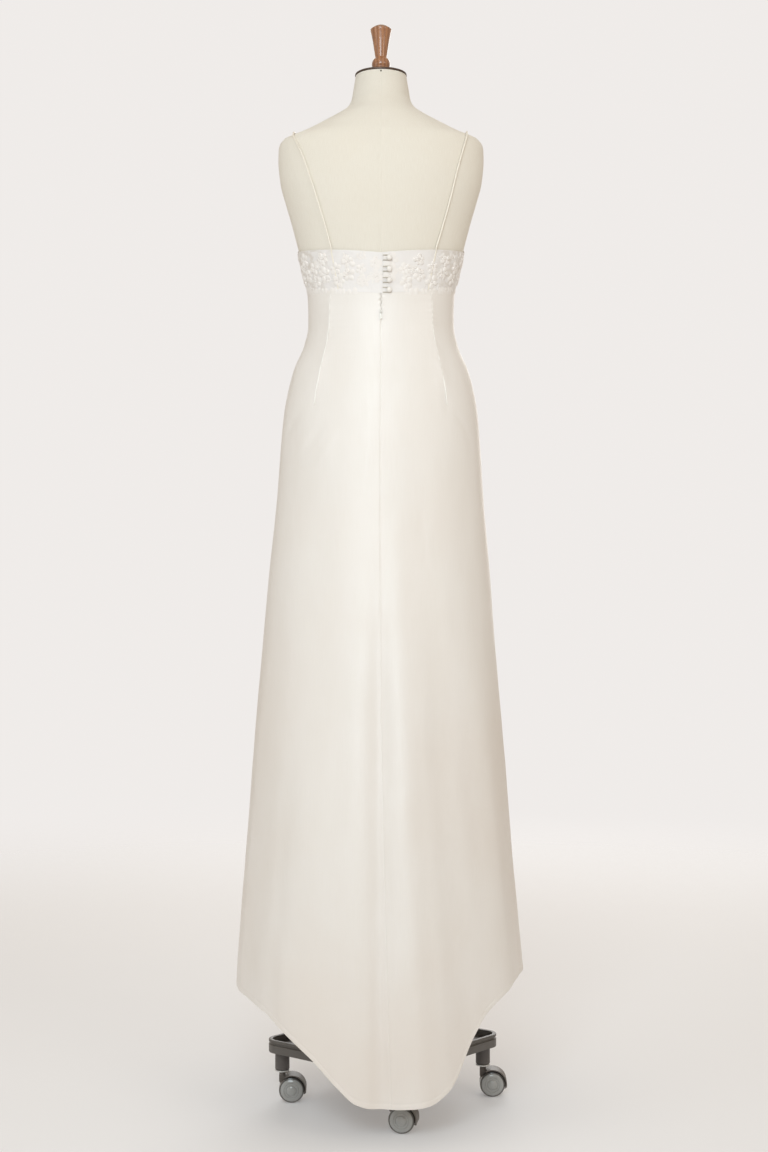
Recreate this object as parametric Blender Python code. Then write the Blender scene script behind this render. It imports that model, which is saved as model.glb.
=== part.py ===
"""A wedding dress worn by a limbless dress form that stands on four castors.

Metres, +Z up. The wearer's front faces -Y and the wearer's left is +X. The wheels stand on Z = 0,
and the origin is the middle of the whole footprint. Every piece is modelled round the pole's axis
and hangs on an empty that stands there. A turn is an angle round the body, in degrees: 0 at the
centre back, 90 at the wearer's left side, 180 at the centre front.
"""

import math
from bisect import bisect_right
from collections import namedtuple

import bmesh
import bpy
from mathutils import Matrix, Vector

# ---------------------------------------------------------------- driving sizes

POLE_AXIS = (0.0, -0.0235, 0.0)    # from the middle of the footprint

SEAM_GAP = 0.0003        # between two pieces of cloth at a seam
EASE = 0.0010            # between the form and what is worn over it
CLOTH = 0.0015           # thickness of the satin and of the lace
WORN = EASE + CLOTH      # outer face of the worn cloth, from the form

SIDE_TURN = 90.0         # where the side seams run
SEAM_DRIFT = 3.8         # how far the centre-back seam has wandered at the hem, in turn
SEAM_STRAIGHT = 1.20     # height above which that seam runs straight
DART_TURN = 52.0         # where the back darts run
DART_END = 1.208         # height of the dart's point

# One section of the body: half width, reach to the back and to the front of the pole.
Girth = namedtuple("Girth", "height half_width back front")

FORM = (
    Girth(1.0010, 0.155, 0.098, 0.093),
    Girth(1.0510, 0.163, 0.110, 0.098),
    Girth(1.1160, 0.167, 0.118, 0.102),
    Girth(1.1710, 0.167, 0.117, 0.104),
    Girth(1.2210, 0.160, 0.109, 0.101),
    Girth(1.2610, 0.1515, 0.100, 0.097),
    Girth(1.3110, 0.1325, 0.091, 0.091),
    Girth(1.3510, 0.1243, 0.087, 0.088),
    Girth(1.4010, 0.1255, 0.089, 0.092),
    Girth(1.4410, 0.1345, 0.094, 0.098),
    Girth(1.4810, 0.1440, 0.099, 0.105),
    Girth(1.5270, 0.1560, 0.104, 0.112),
    Girth(1.5650, 0.1670, 0.107, 0.112),
    Girth(1.6000, 0.1762, 0.107, 0.106),
    Girth(1.6400, 0.1798, 0.103, 0.096),
    Girth(1.6620, 0.1790, 0.098, 0.088),
    Girth(1.6745, 0.1712, 0.094, 0.083),
    Girth(1.6830, 0.1495, 0.090, 0.079),
    Girth(1.6935, 0.1260, 0.085, 0.075),
    Girth(1.7052, 0.1030, 0.079, 0.070),
    Girth(1.7175, 0.0795, 0.072, 0.066),
    Girth(1.7300, 0.0610, 0.063, 0.061),
    Girth(1.7440, 0.0525, 0.054, 0.055),
    Girth(1.7670, 0.0482, 0.048, 0.050),
    Girth(1.7880, 0.0448, 0.0448, 0.0448),
)

# The two cups of a general figure: a rise towards the front, round each centre.
CUP_SIDE = 0.074
CUP_HEIGHT = 1.511
CUP_RISE = 0.036
CUP_WIDTH = 0.056
CUP_TALL = 0.062
CUP_EASE = 0.0016        # more room for the form inside the cups

# The skirt's outer face, from the underbust seam to the floor.
SKIRT = (
    Girth(1.4310, 0.1322, 0.0945, 0.0985),
    Girth(1.4010, 0.1280, 0.0915, 0.0945),
    Girth(1.3710, 0.1269, 0.0902, 0.0930),
    Girth(1.3500, 0.1272, 0.0905, 0.0930),
    Girth(1.3130, 0.1352, 0.0945, 0.0950),
    Girth(1.2780, 0.1500, 0.1015, 0.1000),
    Girth(1.2410, 0.1608, 0.1110, 0.1060),
    Girth(1.1960, 0.1692, 0.1190, 0.1110),
    Girth(1.1410, 0.1742, 0.1260, 0.1140),
    Girth(1.0500, 0.1804, 0.1345, 0.1180),
    Girth(0.8510, 0.1990, 0.1570, 0.1310),
    Girth(0.6250, 0.2170, 0.1860, 0.1480),
    Girth(0.4640, 0.2300, 0.2080, 0.1620),
    Girth(0.3030, 0.2440, 0.2280, 0.1780),
    Girth(0.2210, 0.2500, 0.2370, 0.1860),
    Girth(0.0410, 0.2560, 0.2540, 0.2000),
)

SKIRT_CROWDING = 1.35    # rows lie closer at the waist
LEAVES_FORM = 0.040      # below the seam, over which the skirt takes its own shape
SWAY = 0.0038            # how far the skirt hangs to the wearer's left, half-way down
SWAY_TOP = 1.25
SWAY_BOTTOM = 0.08
DART_SWELL = 0.0022
DART_SOFTNESS = 9.0      # degrees over which the dart's corner dies away

# A soft fold of the skirt: where it runs, how wide it is (one sigma, degrees), how far it stands
# out at the hem (negative for a trough) and the height at which it has died away.
Fold = namedtuple("Fold", "turn spread rise top")

FOLDS = (
    Fold(-17.0, 7.5, 0.0070, 1.05),
    Fold(0.5, 5.0, -0.0030, 0.92),
    Fold(36.0, 13.0, 0.0100, 0.98),
    Fold(62.0, 9.0, -0.0060, 0.80),
    Fold(-39.0, 9.0, -0.0070, 0.95),
    Fold(-58.0, 8.0, 0.0045, 1.00),
    Fold(-73.0, 7.0, -0.0055, 0.75),
    Fold(112.0, 9.0, -0.0090, 0.85),
    Fold(134.0, 10.0, 0.0080, 1.00),
    Fold(160.0, 9.0, -0.0080, 0.80),
    Fold(181.0, 11.0, 0.0085, 0.95),
    Fold(204.0, 9.0, -0.0075, 0.85),
    Fold(228.0, 10.0, 0.0075, 0.90),
    Fold(250.0, 8.0, -0.0085, 0.80),
)

# Height of an edge at a turn. Turns run from -180 to 180; the table repeats round the body.
Edge = namedtuple("Edge", "turn height")

WAIST_SEAM = (
    Edge(0.0, 1.3940),
    Edge(45.0, 1.4000),
    Edge(90.0, 1.4125),
    Edge(135.0, 1.4180),
    Edge(180.0, 1.4190),
)
BAND_TOP = (Edge(0.0, 1.4600), Edge(45.0, 1.4680), Edge(90.0, 1.4780))
NECKLINE = (
    Edge(90.0, 1.4780),
    Edge(104.0, 1.4970),
    Edge(118.0, 1.5330),
    Edge(130.0, 1.5670),
    Edge(138.0, 1.5770),
    Edge(149.0, 1.5650),
    Edge(163.0, 1.5470),
    Edge(180.0, 1.5390),
)
HEM = (
    Edge(-180.0, 0.2360),
    Edge(-130.0, 0.2350),
    Edge(-95.0, 0.2320),
    Edge(-67.0, 0.2265),
    Edge(-56.0, 0.2120),
    Edge(-47.0, 0.1900),
    Edge(-40.0, 0.1570),
    Edge(-35.0, 0.1270),
    Edge(-30.0, 0.0970),
    Edge(-25.0, 0.0780),
    Edge(-18.0, 0.0630),
    Edge(-10.0, 0.0585),
    Edge(-3.0, 0.0575),
    Edge(3.0, 0.0580),
    Edge(9.0, 0.0645),
    Edge(17.0, 0.0935),
    Edge(27.0, 0.1340),
    Edge(40.0, 0.1700),
    Edge(51.0, 0.1900),
    Edge(67.0, 0.2000),
    Edge(95.0, 0.2080),
    Edge(130.0, 0.2290),
    Edge(180.0, 0.2360),
)

HEM_LOWEST = min(edge.height for edge in HEM)

# Straps: height and distance from the centre of the rouleau, up the back and down the front.
StrapPoint = namedtuple("StrapPoint", "height side")

STRAP_RADIUS = 0.0015
STRAP_EASE = 0.0007
STRAP_STEPS = 40               # points up each side, before they are evened out
STRAP_SEGMENT = 0.0120
STRAP_BACK = {
    "left": (
        StrapPoint(1.4690, 0.0830), StrapPoint(1.5130, 0.0950), StrapPoint(1.5746, 0.1140),
        StrapPoint(1.6295, 0.1325), StrapPoint(1.6700, 0.1500),
    ),
    "right": (
        StrapPoint(1.4700, 0.0920), StrapPoint(1.4990, 0.1010), StrapPoint(1.5600, 0.1180),
        StrapPoint(1.6126, 0.1310), StrapPoint(1.6700, 0.1470),
    ),
}
STRAP_FRONT = (StrapPoint(1.6700, 0.1490), StrapPoint(1.6260, 0.1210), StrapPoint(1.5790, 0.0860))

# Back closing: buttons on the wearer's right, loops from the left, then the zip.
BUTTON_HEIGHTS = (1.4520, 1.4335, 1.4150, 1.3985)
BUTTON_SIDE = -0.0135
BUTTON_RADIUS = 0.0046
BUTTON_RISE = 0.0030
BUTTON_EDGE = 0.0007           # its straight edge, and how far its underside is cut back
SHANK_RADIUS = 0.0026
SHANK_RISE = 0.0027
LOOP_WIRE = 0.0009
LOOP_FOOT = -0.0028            # where the loops come out of the band's left end
CLOSING_TURN = -1.8            # where the band's ends meet, a little right of the centre
LOOP_PLAY = 0.0002
ZIP_BAR_HEIGHT = 1.3610
ZIP_OPENING = 0.0010
ZIP_OPENS_OVER = 0.0100        # the height over which the slit widens above the slider
ZIP_BAR_RADIUS = 0.0006
ZIP_EYE_RADIUS = 0.0020
ZIP_EYE_HOLE = 0.0010
ZIP_EYE_WIDTH = 0.0016
ZIP_PLATE = 0.0007
ZIP_PLATE_HALF = 0.0035
ZIP_STAND_OFF = 0.0006         # of the slider from the skirt
ZIP_LUG = 0.0007
ZIP_LUG_HALF = 0.0010
ZIP_PULL_LENGTH = 0.0125
ZIP_PULL_HALF = 0.0020
ZIP_NECK_HALF = 0.0007
ZIP_TAB_HALF = 0.0005
BITE = 0.0003                  # how far two shapes of one piece reach into each other

# The form.
SHOULDER_LOW = 1.65            # the top of the shoulder lies between these heights
SHOULDER_HIGH = 1.73
FORM_SIDES = 36
FORM_STEP = 0.024

# A turned outline: radius, and height above the piece's foot.
Turned = namedtuple("Turned", "radius up")

CAP = (
    Turned(0.0, 0.0),
    Turned(0.0440, 0.0),
    Turned(0.0454, 0.0010),
    Turned(0.0454, 0.0026),
    Turned(0.0438, 0.0040),
    Turned(0.0280, 0.0056),
    Turned(0.0, 0.0062),
)
FINIAL = (
    Turned(0.0, 0.0),
    Turned(0.0150, 0.0),
    Turned(0.0158, 0.0030),
    Turned(0.0150, 0.0072),
    Turned(0.0147, 0.0085),
    Turned(0.0160, 0.0130),
    Turned(0.0158, 0.0175),
    Turned(0.0140, 0.0220),
    Turned(0.0112, 0.0252),
    Turned(0.0104, 0.0280),
    Turned(0.0121, 0.0400),
    Turned(0.0146, 0.0560),
    Turned(0.0172, 0.0690),
    Turned(0.0183, 0.0740),
    Turned(0.0180, 0.0762),
    Turned(0.0130, 0.0800),
    Turned(0.0070, 0.0828),
    Turned(0.0, 0.0838),
)

# The stand.
BASE_CENTRE = Vector((-0.004, 0.0))
CASTOR_RADIUS = 0.1765         # of the castor stems from the base's centre
CORNERS = (5.0, 95.0, 186.0, 275.0)    # where the four castors stand, degrees round Z from +X
BASE_TOP = 0.1090
BASE_BOTTOM = 0.0865
BASE_CORNER = 0.0235           # round end over each castor
BASE_BULGE = -0.0060           # how far each side swells past a straight line
CORNER_ARC = (-50, -30, -10, 10, 30, 50)    # degrees from the corner's own direction
SIDE_STEPS = 4
RIM_WIDTH = 0.0070
GROOVE_DEPTH = 0.0025          # the groove that runs round the rim
GROOVE_TOP = 0.0045            # below the rim's top
GROOVE_BOTTOM = 0.0085
GROOVE_BEVEL = 0.0010
DECK_TOP = 0.0980
DECK_BOTTOM = 0.0865
POLE_RADIUS = 0.0150
BOSS_RADIUS = 0.0320
BOSS_TOP = 0.1450
COLLAR = 0.0050                # how far the boss's collar stands out from the pole
PLATE_RADIUS = 0.0400          # the plate under the form
PLATE_THICKNESS = 0.0060
SOCKET_RADIUS = 0.0125
SOCKET_BOTTOM = 0.0555
SOCKET_DEPTH = 0.0250
STEM_RADIUS = 0.0052
STEM_PLAY = 0.0004
STEM_HEADROOM = 0.0015
BOSS_HALF = 0.0054             # the fork's own boss, under the washer
WASHER_RADIUS = 0.0105
WASHER_TOP = 0.0008            # below the socket's foot
WASHER_BOTTOM = 0.0032
WHEEL_RADIUS = 0.0225
WHEEL_WIDTH = 0.0140
WHEEL_PLAY = 0.0006            # between a wheel and the web
WEB_HALF = 0.0030
AXLE_RADIUS = 0.0030
AXLE_PLAY = 0.0004
TRAIL = 0.0165                 # from the stem's axis back to the axle
HOOD_INNER = 0.0235            # the hood's shell over the wheels
HOOD_OUTER = 0.0255
HOOD_HALF = 0.0146
WHEEL_SIDES = 16
# Which way each castor trails, in degrees round Z from +X.
TRAIL_WAY = (181.0, 170.0, 178.0, 205.0)


# ---------------------------------------------------------------- curves through the tables

def smooth(table, column, key, value):
    """The value of a column between a table's rows, on a curve that never overshoots them."""
    keys = [getattr(row, key) for row in table]
    ends = [getattr(row, column) for row in table]
    if keys[0] > keys[-1]:
        keys, ends = keys[::-1], ends[::-1]
    value = min(max(value, keys[0]), keys[-1])
    i = min(max(bisect_right(keys, value) - 1, 0), len(keys) - 2)
    rates = [(ends[k + 1] - ends[k]) / (keys[k + 1] - keys[k]) for k in range(len(keys) - 1)]

    def slope(k):
        if k in (0, len(rates)):
            return rates[0] if k == 0 else rates[-1]
        before, after = rates[k - 1], rates[k]
        return 0.0 if before * after <= 0.0 else 2.0 * before * after / (before + after)

    step = keys[i + 1] - keys[i]
    t = (value - keys[i]) / step
    return ((1 + 2 * t) * (1 - t) ** 2 * ends[i] + t * (1 - t) ** 2 * step * slope(i)
            + t * t * (3 - 2 * t) * ends[i + 1] + t * t * (t - 1) * step * slope(i + 1))


def girth_at(table, height):
    columns = [smooth(table, column, "height", height) for column in Girth._fields[1:]]
    return Girth(height, *columns)


def wrapped(turn):
    """The same turn between -180 and 180."""
    return (turn + 180.0) % 360.0 - 180.0


def mirrored(table, turn):
    """The edge's height where both sides of the body are alike."""
    return smooth(table, "height", "turn", abs(wrapped(turn)))


def hem_height(turn):
    return smooth(HEM, "height", "turn", wrapped(turn))


# ---------------------------------------------------------------- the surfaces

def on_girth(girth, turn, out):
    across, along = math.sin(math.radians(turn)), math.cos(math.radians(turn))
    depth = girth.back if along > 0 else girth.front
    reach = 1.0 / math.hypot(across / (girth.half_width + out), along / (depth + out))
    return Vector((reach * across, reach * along, girth.height))


def on_form(height, turn, out=0.0, rise=CUP_RISE):
    """A point on the form, or on what is worn a little way out from it."""
    point = on_girth(girth_at(FORM, height), turn, out)
    if point.y < 0:
        aside = (abs(point.x) - CUP_SIDE) / CUP_WIDTH
        above = (height - CUP_HEIGHT) / CUP_TALL
        facing = min(1.0, -point.y / 0.03)
        point.y -= rise * facing * math.exp(-aside * aside - above * above)
    return point


def worn_over_form(height, turn, out=0.0):
    return on_form(height, turn, WORN + out, CUP_RISE + CUP_EASE)


def form_normal(height, turn):
    step_up, step_round = 0.0005, 0.25
    up = on_form(height + step_up, turn) - on_form(height - step_up, turn)
    around = on_form(height, turn + step_round) - on_form(height, turn - step_round)
    normal = up.cross(around).normalized()
    outward = Vector((math.sin(math.radians(turn)), math.cos(math.radians(turn)), 0.0))
    return normal if normal.dot(outward) > -0.001 else -normal


def dart_swell(height, turn):
    """The skirt turns a soft corner along each back dart."""
    if height < DART_END:
        return 0.0
    past = abs(abs(wrapped(turn)) - DART_TURN) / DART_SOFTNESS
    closing = min(1.0, (height - DART_END) / 0.08)
    return DART_SWELL * closing * math.exp(-past)


def fold_rise(height, turn):
    rise = 0.0
    for fold in FOLDS:
        if height < fold.top:
            away = wrapped(turn - fold.turn) / fold.spread
            grown = (fold.top - height) / fold.top
            rise += fold.rise * grown ** 1.3 * math.exp(-0.5 * away * away)
    return rise


def sway(height):
    share = (SWAY_TOP - height) / (SWAY_TOP - SWAY_BOTTOM)
    return SWAY * math.sin(math.pi * share) if 0.0 < share < 1.0 else 0.0


def on_skirt(height, turn, out=0.0):
    """The skirt's outer face: it leaves the form's shape a little below the seam."""
    swell = out + dart_swell(height, turn) + fold_rise(height, turn)
    point = on_girth(girth_at(SKIRT, height), turn, swell)
    point.x += sway(height)
    below = (mirrored(WAIST_SEAM, turn) - height) / LEAVES_FORM
    if below < 1.0:
        share = max(0.0, below)
        point = worn_over_form(height, turn, out).lerp(point, share * share * (3.0 - 2.0 * share))
    return point


# ---------------------------------------------------------------- meshes

def paint(name, colour, roughness, metallic=0.0):
    material = bpy.data.materials.new(name)
    material.use_nodes = True
    shader = material.node_tree.nodes["Principled BSDF"]
    shader.inputs["Base Color"].default_value = (*colour, 1.0)
    shader.inputs["Roughness"].default_value = roughness
    shader.inputs["Metallic"].default_value = metallic
    return material


def place(name, bm, material, sharp=35.0):
    """Turn a bmesh into a named object, shaded smooth but for its sharp edges."""
    bmesh.ops.recalc_face_normals(bm, faces=bm.faces)
    mesh = bpy.data.meshes.new(name)
    bm.to_mesh(mesh)
    bm.free()
    mesh.shade_smooth()
    mesh.set_sharp_from_angle(angle=math.radians(sharp))
    mesh.materials.append(material)
    piece = bpy.data.objects.new(name, mesh)
    bpy.context.collection.objects.link(piece)
    return piece


def bridge(bm, rows, closed):
    """Quads between neighbouring rows of vertices."""
    for low, high in zip(rows, rows[1:]):
        count = len(low)
        for k in range(count if closed else count - 1):
            n = (k + 1) % count
            bm.faces.new((low[k], low[n], high[n], high[k]))


def wall(name, outer, inner, material):
    """A panel of cloth: its outer and inner faces, and the four edges between them."""
    bm = bmesh.new()
    faces = [[[bm.verts.new(point) for point in row] for row in grid] for grid in (outer, inner)]
    for grid in faces:
        bridge(bm, grid, closed=False)
    out, into = faces
    bridge(bm, [out[0], into[0]], closed=False)
    bridge(bm, [out[-1], into[-1]], closed=False)
    for side in (0, -1):
        bridge(bm, [[row[side] for row in out], [row[side] for row in into]], closed=False)
    return place(name, bm, material, sharp=60.0)


def panel(name, surface, turns, top, bottom, rows, material, crowding=1.0, trim=None):
    """A wall between two edges. Its rows ease from one edge's shape to the other's."""
    def grid(out):
        sheet = []
        for r in range(rows + 1):
            t = (r / rows) ** crowding
            line = []
            for turn in turns:
                height = top(turn) + (bottom(turn) - top(turn)) * t
                point = surface(height, turn, out)
                line.append(trim(point, turn) if trim else point)
            sheet.append(line)
        return sheet
    return wall(name, grid(0.0), grid(-CLOTH), material)


def tube(name, path, radius, material, sides=8):
    """A round cord along a path, with flat ends."""
    bm = bmesh.new()
    rings = []
    across = None
    for i, point in enumerate(path):
        ahead = (path[min(i + 1, len(path) - 1)] - path[max(i - 1, 0)]).normalized()
        if across is None:
            across = ahead.orthogonal().normalized()
        across = (across - ahead * across.dot(ahead)).normalized()
        beside = ahead.cross(across)
        ring = []
        for k in range(sides):
            a = 2 * math.pi * k / sides
            ring.append(bm.verts.new(point + radius * (math.cos(a) * across + math.sin(a) * beside)))
        rings.append(ring)
    bridge(bm, rings, closed=True)
    bm.faces.new(rings[0])
    bm.faces.new(rings[-1])
    return place(name, bm, material)


def lathe(name, profile, material, sides=24, axis=None, sharp=35.0):
    """Turn (radius, height) points round Z. A radius of 0 closes the end on the axis."""
    bm = bmesh.new()
    rings = []
    for radius, height in profile:
        ring = []
        for k in range(sides if radius else 1):
            a = 2 * math.pi * (k + 0.5) / sides
            ring.append(bm.verts.new((radius * math.cos(a), radius * math.sin(a), height)))
        rings.append(ring)
    for low, high in zip(rings, rings[1:]):
        for k in range(sides):
            n = (k + 1) % sides
            if len(low) == 1:
                bm.faces.new((low[0], high[n], high[k]))
            elif len(high) == 1:
                bm.faces.new((low[k], low[n], high[0]))
            else:
                bm.faces.new((low[k], low[n], high[n], high[k]))
    if len(rings[0]) > 1:
        bm.faces.new(rings[0])
    if len(rings[-1]) > 1:
        bm.faces.new(rings[-1])
    if axis is not None:
        bmesh.ops.transform(bm, matrix=axis, verts=bm.verts)
    return place(name, bm, material, sharp)


def slab(bm, outline, low, high):
    """Extrude a flat outline between two heights."""
    bottom = [bm.verts.new((x, y, low)) for x, y in outline]
    top = [bm.verts.new((x, y, high)) for x, y in outline]
    bridge(bm, [bottom, top], closed=True)
    bm.faces.new(bottom)
    bm.faces.new(top)


def cut(piece, cutter, operation="DIFFERENCE"):
    """Apply a Boolean with another object, which is then removed."""
    modifier = piece.modifiers.new(operation.lower(), "BOOLEAN")
    modifier.operation = operation
    modifier.object = cutter
    bpy.context.view_layer.update()
    graph = bpy.context.evaluated_depsgraph_get()
    mesh = bpy.data.meshes.new_from_object(piece.evaluated_get(graph))
    piece.modifiers.clear()
    piece.data = mesh
    bpy.data.objects.remove(cutter)
    return piece


# ---------------------------------------------------------------- the dress

def spread(first, last, count, fixed=()):
    """Evenly spaced turns from first to last, with the nearest ones moved onto the fixed turns."""
    turns = [first + (last - first) * k / count for k in range(count + 1)]
    for turn in fixed:
        nearest = min(range(1, count), key=lambda k: abs(turns[k] - turn))
        turns[nearest] = turn
    return turns


def seam_trim(half_gap, side, edge=0.0):
    """Move a panel's edge at the back to its own side, by half of the seam's gap."""
    def trim(point, turn):
        if turn == edge:
            point.x += side * half_gap(point.z)
        return point
    return trim


def back_slit(height):
    """Half the gap at the centre back: the seam, opened along the zip."""
    if height < ZIP_BAR_HEIGHT:
        return SEAM_GAP / 2
    open_share = min(1.0, (height - ZIP_BAR_HEIGHT) / ZIP_OPENS_OVER)
    return SEAM_GAP / 2 + (ZIP_OPENING / 2 - SEAM_GAP / 2) * open_share


def back_closing(_height):
    """Half the gap between the two ends of the band."""
    return SEAM_GAP / 2


def side_turn_gap(height, table):
    """The turn that half a seam gap takes up at the side seam."""
    return math.degrees(SEAM_GAP / 2 / girth_at(table, height).back)


def drifted(height, turn):
    """The turn of a back panel's thread: the centre-back seam wanders to the right as it falls."""
    if height > SEAM_STRAIGHT:
        return turn
    fallen = (SEAM_STRAIGHT - height) / SEAM_STRAIGHT
    return turn - SEAM_DRIFT * fallen ** 1.2 * (1.0 - abs(turn) / SIDE_TURN)


def on_back_panel(height, turn, out=0.0):
    return on_skirt(height, drifted(height, turn), out)


def back_hem(turn):
    return hem_height(drifted(HEM_LOWEST, turn))


def waist_seam(turn):
    return mirrored(WAIST_SEAM, turn)


def skirt_top(turn):
    return waist_seam(turn) - SEAM_GAP / 2


def bodice_foot(turn):
    return waist_seam(turn) + SEAM_GAP / 2


def band_top(turn):
    return mirrored(BAND_TOP, turn)


def neckline(turn):
    return mirrored(NECKLINE, turn)


def make_skirt(satin):
    gap = side_turn_gap(skirt_top(SIDE_TURN), SKIRT)
    for name, side in (("skirt_back_left", 1), ("skirt_back_right", -1)):
        turns = [side * turn for turn in spread(0.0, SIDE_TURN - gap, 14, fixed=(DART_TURN,))]
        trim = seam_trim(back_slit, side)
        panel(name, on_back_panel, turns, skirt_top, back_hem, 24, satin, SKIRT_CROWDING, trim)
    turns = spread(SIDE_TURN + gap, 360.0 - SIDE_TURN - gap, 24)
    panel("skirt_front", on_skirt, turns, skirt_top, hem_height, 22, satin, SKIRT_CROWDING)


def make_bodice(lace):
    gap = side_turn_gap(band_top(SIDE_TURN), FORM)
    for name, side in (("band_back_left", 1), ("band_back_right", -1)):
        turns = spread(CLOSING_TURN, side * (SIDE_TURN - gap), 14)
        trim = seam_trim(back_closing, side, CLOSING_TURN)
        panel(name, worn_over_form, turns, band_top, bodice_foot, 3, lace, trim=trim)
    turns = spread(SIDE_TURN + gap, 360.0 - SIDE_TURN - gap, 32)
    panel("bodice_front", worn_over_form, turns, neckline, bodice_foot, 10, lace)


def turn_beside(height, aside, front):
    """The turn at which the form is a given distance from the centre, at a height."""
    girth = girth_at(FORM, height)
    share = min(1.0, aside / girth.half_width)
    depth = (girth.front if front else girth.back) * math.sqrt(1.0 - share * share)
    turn = math.degrees(math.atan2(aside, depth))
    return 180.0 - turn if front else turn


def evened(path, step):
    """The same path with its points a fixed step apart."""
    lengths = [0.0]
    for a, b in zip(path, path[1:]):
        lengths.append(lengths[-1] + (b - a).length)
    count = max(2, round(lengths[-1] / step))
    even = []
    for k in range(count + 1):
        want = lengths[-1] * k / count
        i = min(bisect_right(lengths, want) - 1, len(path) - 2)
        t = (want - lengths[i]) / (lengths[i + 1] - lengths[i])
        even.append(path[i].lerp(path[i + 1], t))
    return even


def strap_path(side, back, front):
    """Up the back, over the shoulder and down to the top of the cup, just clear of the form."""
    lift = STRAP_EASE + STRAP_RADIUS
    path = []
    for rows, is_front, way in ((back, False, 1), (front, True, -1)):
        low = min(row.height for row in rows)
        high = max(row.height for row in rows)
        for k in range(STRAP_STEPS + 1)[::way]:
            height = low + (high - low) * k / STRAP_STEPS
            aside = smooth(rows, "side", "height", height)
            turn = turn_beside(height, aside, is_front)
            path.append((on_form(height, side * turn), form_normal(height, side * turn)))
        if not is_front:
            path += shoulder_crossing(side, rows[-1], front[0])
    return [point + normal * lift for point, normal in path]


def shoulder_crossing(side, back_end, front_end):
    """Points across the top of the shoulder, from the back's last point to the front's first."""
    crossing = []
    start = turn_beside(back_end.height, back_end.side, False)
    end = turn_beside(front_end.height, front_end.side, True)
    half = STRAP_STEPS // 2
    for k in range(1, half):
        turn = start + (end - start) * k / half
        aside = back_end.side + (front_end.side - back_end.side) * k / half
        height = shoulder_height(aside, turn)
        crossing.append((on_form(height, side * turn), form_normal(height, side * turn)))
    return crossing


def shoulder_height(aside, turn):
    """How high the form is where a line of this turn is a given distance from the centre."""
    low, high = SHOULDER_LOW, SHOULDER_HIGH
    for _ in range(STRAP_STEPS):
        middle = (low + high) / 2
        if on_form(middle, turn).x > aside:
            low = middle
        else:
            high = middle
    return low


def make_straps(satin):
    for name, side in (("left", 1), ("right", -1)):
        path = evened(strap_path(side, STRAP_BACK[name], STRAP_FRONT), STRAP_SEGMENT)
        tube("strap_" + name, path, STRAP_RADIUS, satin, sides=6)


def back_face(height, aside):
    """A point on the band's outer face and the way out from it, near the centre back."""
    turn = math.degrees(math.atan2(aside, girth_at(FORM, height).back))
    return worn_over_form(height, turn), form_normal(height, turn)


def standing(point, normal):
    """A frame whose Z is the way out from the cloth and whose Y is up."""
    across = Vector((0, 0, 1)).cross(normal).normalized()
    up = normal.cross(across)
    frame = Matrix((across, up, normal)).transposed().to_4x4()
    frame.translation = point
    return frame


def make_buttons(satin):
    """Covered buttons: a shank, a cut-back underside, a straight edge and a dome."""
    foot = SEAM_GAP
    under = SHANK_RISE + foot
    edge = under + BUTTON_EDGE
    top = under + BUTTON_RISE
    profile = [(SHANK_RADIUS, foot), (SHANK_RADIUS, under), (BUTTON_RADIUS - BUTTON_EDGE, under)]
    profile.append((BUTTON_RADIUS, edge))
    for degrees in (18, 48, 78):
        a = math.radians(degrees)
        profile.append((BUTTON_RADIUS * math.cos(a), edge + (top - edge) * math.sin(a)))
    profile.append((0.0, top))
    for number, height in enumerate(BUTTON_HEIGHTS, 1):
        frame = standing(*back_face(height, BUTTON_SIDE))
        lathe(f"button_{number}", profile, satin, sides=12, axis=frame)
        make_loop(number, height, satin)


def make_loop(number, height, satin):
    """A rouleau loop: out from the left edge, round the shank and back."""
    clear = SEAM_GAP + LOOP_WIRE
    bend = SHANK_RADIUS + clear + LOOP_PLAY
    reach = LOOP_FOOT - BUTTON_SIDE
    flat = [(-reach, -bend), (-reach / 2, -bend), (0.0, -bend)]
    steps = 8
    for k in range(1, steps):
        a = math.pi * (k / steps - 0.5)
        flat.append((bend * math.cos(a), bend * math.sin(a)))
    flat += [(0.0, bend), (-reach / 2, bend), (-reach, bend)]
    path = []
    for along, up in flat:
        cloth, normal = back_face(height + up, BUTTON_SIDE - along)
        path.append(cloth + normal * clear)
    tube(f"button_loop_{number}", path, LOOP_WIRE, satin, sides=6)


def zip_frame():
    """The middle of the slider's bar: X across the body, Y the way out, Z up."""
    out = ZIP_STAND_OFF + ZIP_PLATE + SEAM_GAP + ZIP_EYE_RADIUS
    return Vector((0.0, on_skirt(ZIP_BAR_HEIGHT, 0.0).y + out, ZIP_BAR_HEIGHT))


def box(bm, low, high):
    corners = [(low[0], low[1]), (high[0], low[1]), (high[0], high[1]), (low[0], high[1])]
    slab(bm, corners, low[2], high[2])


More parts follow.
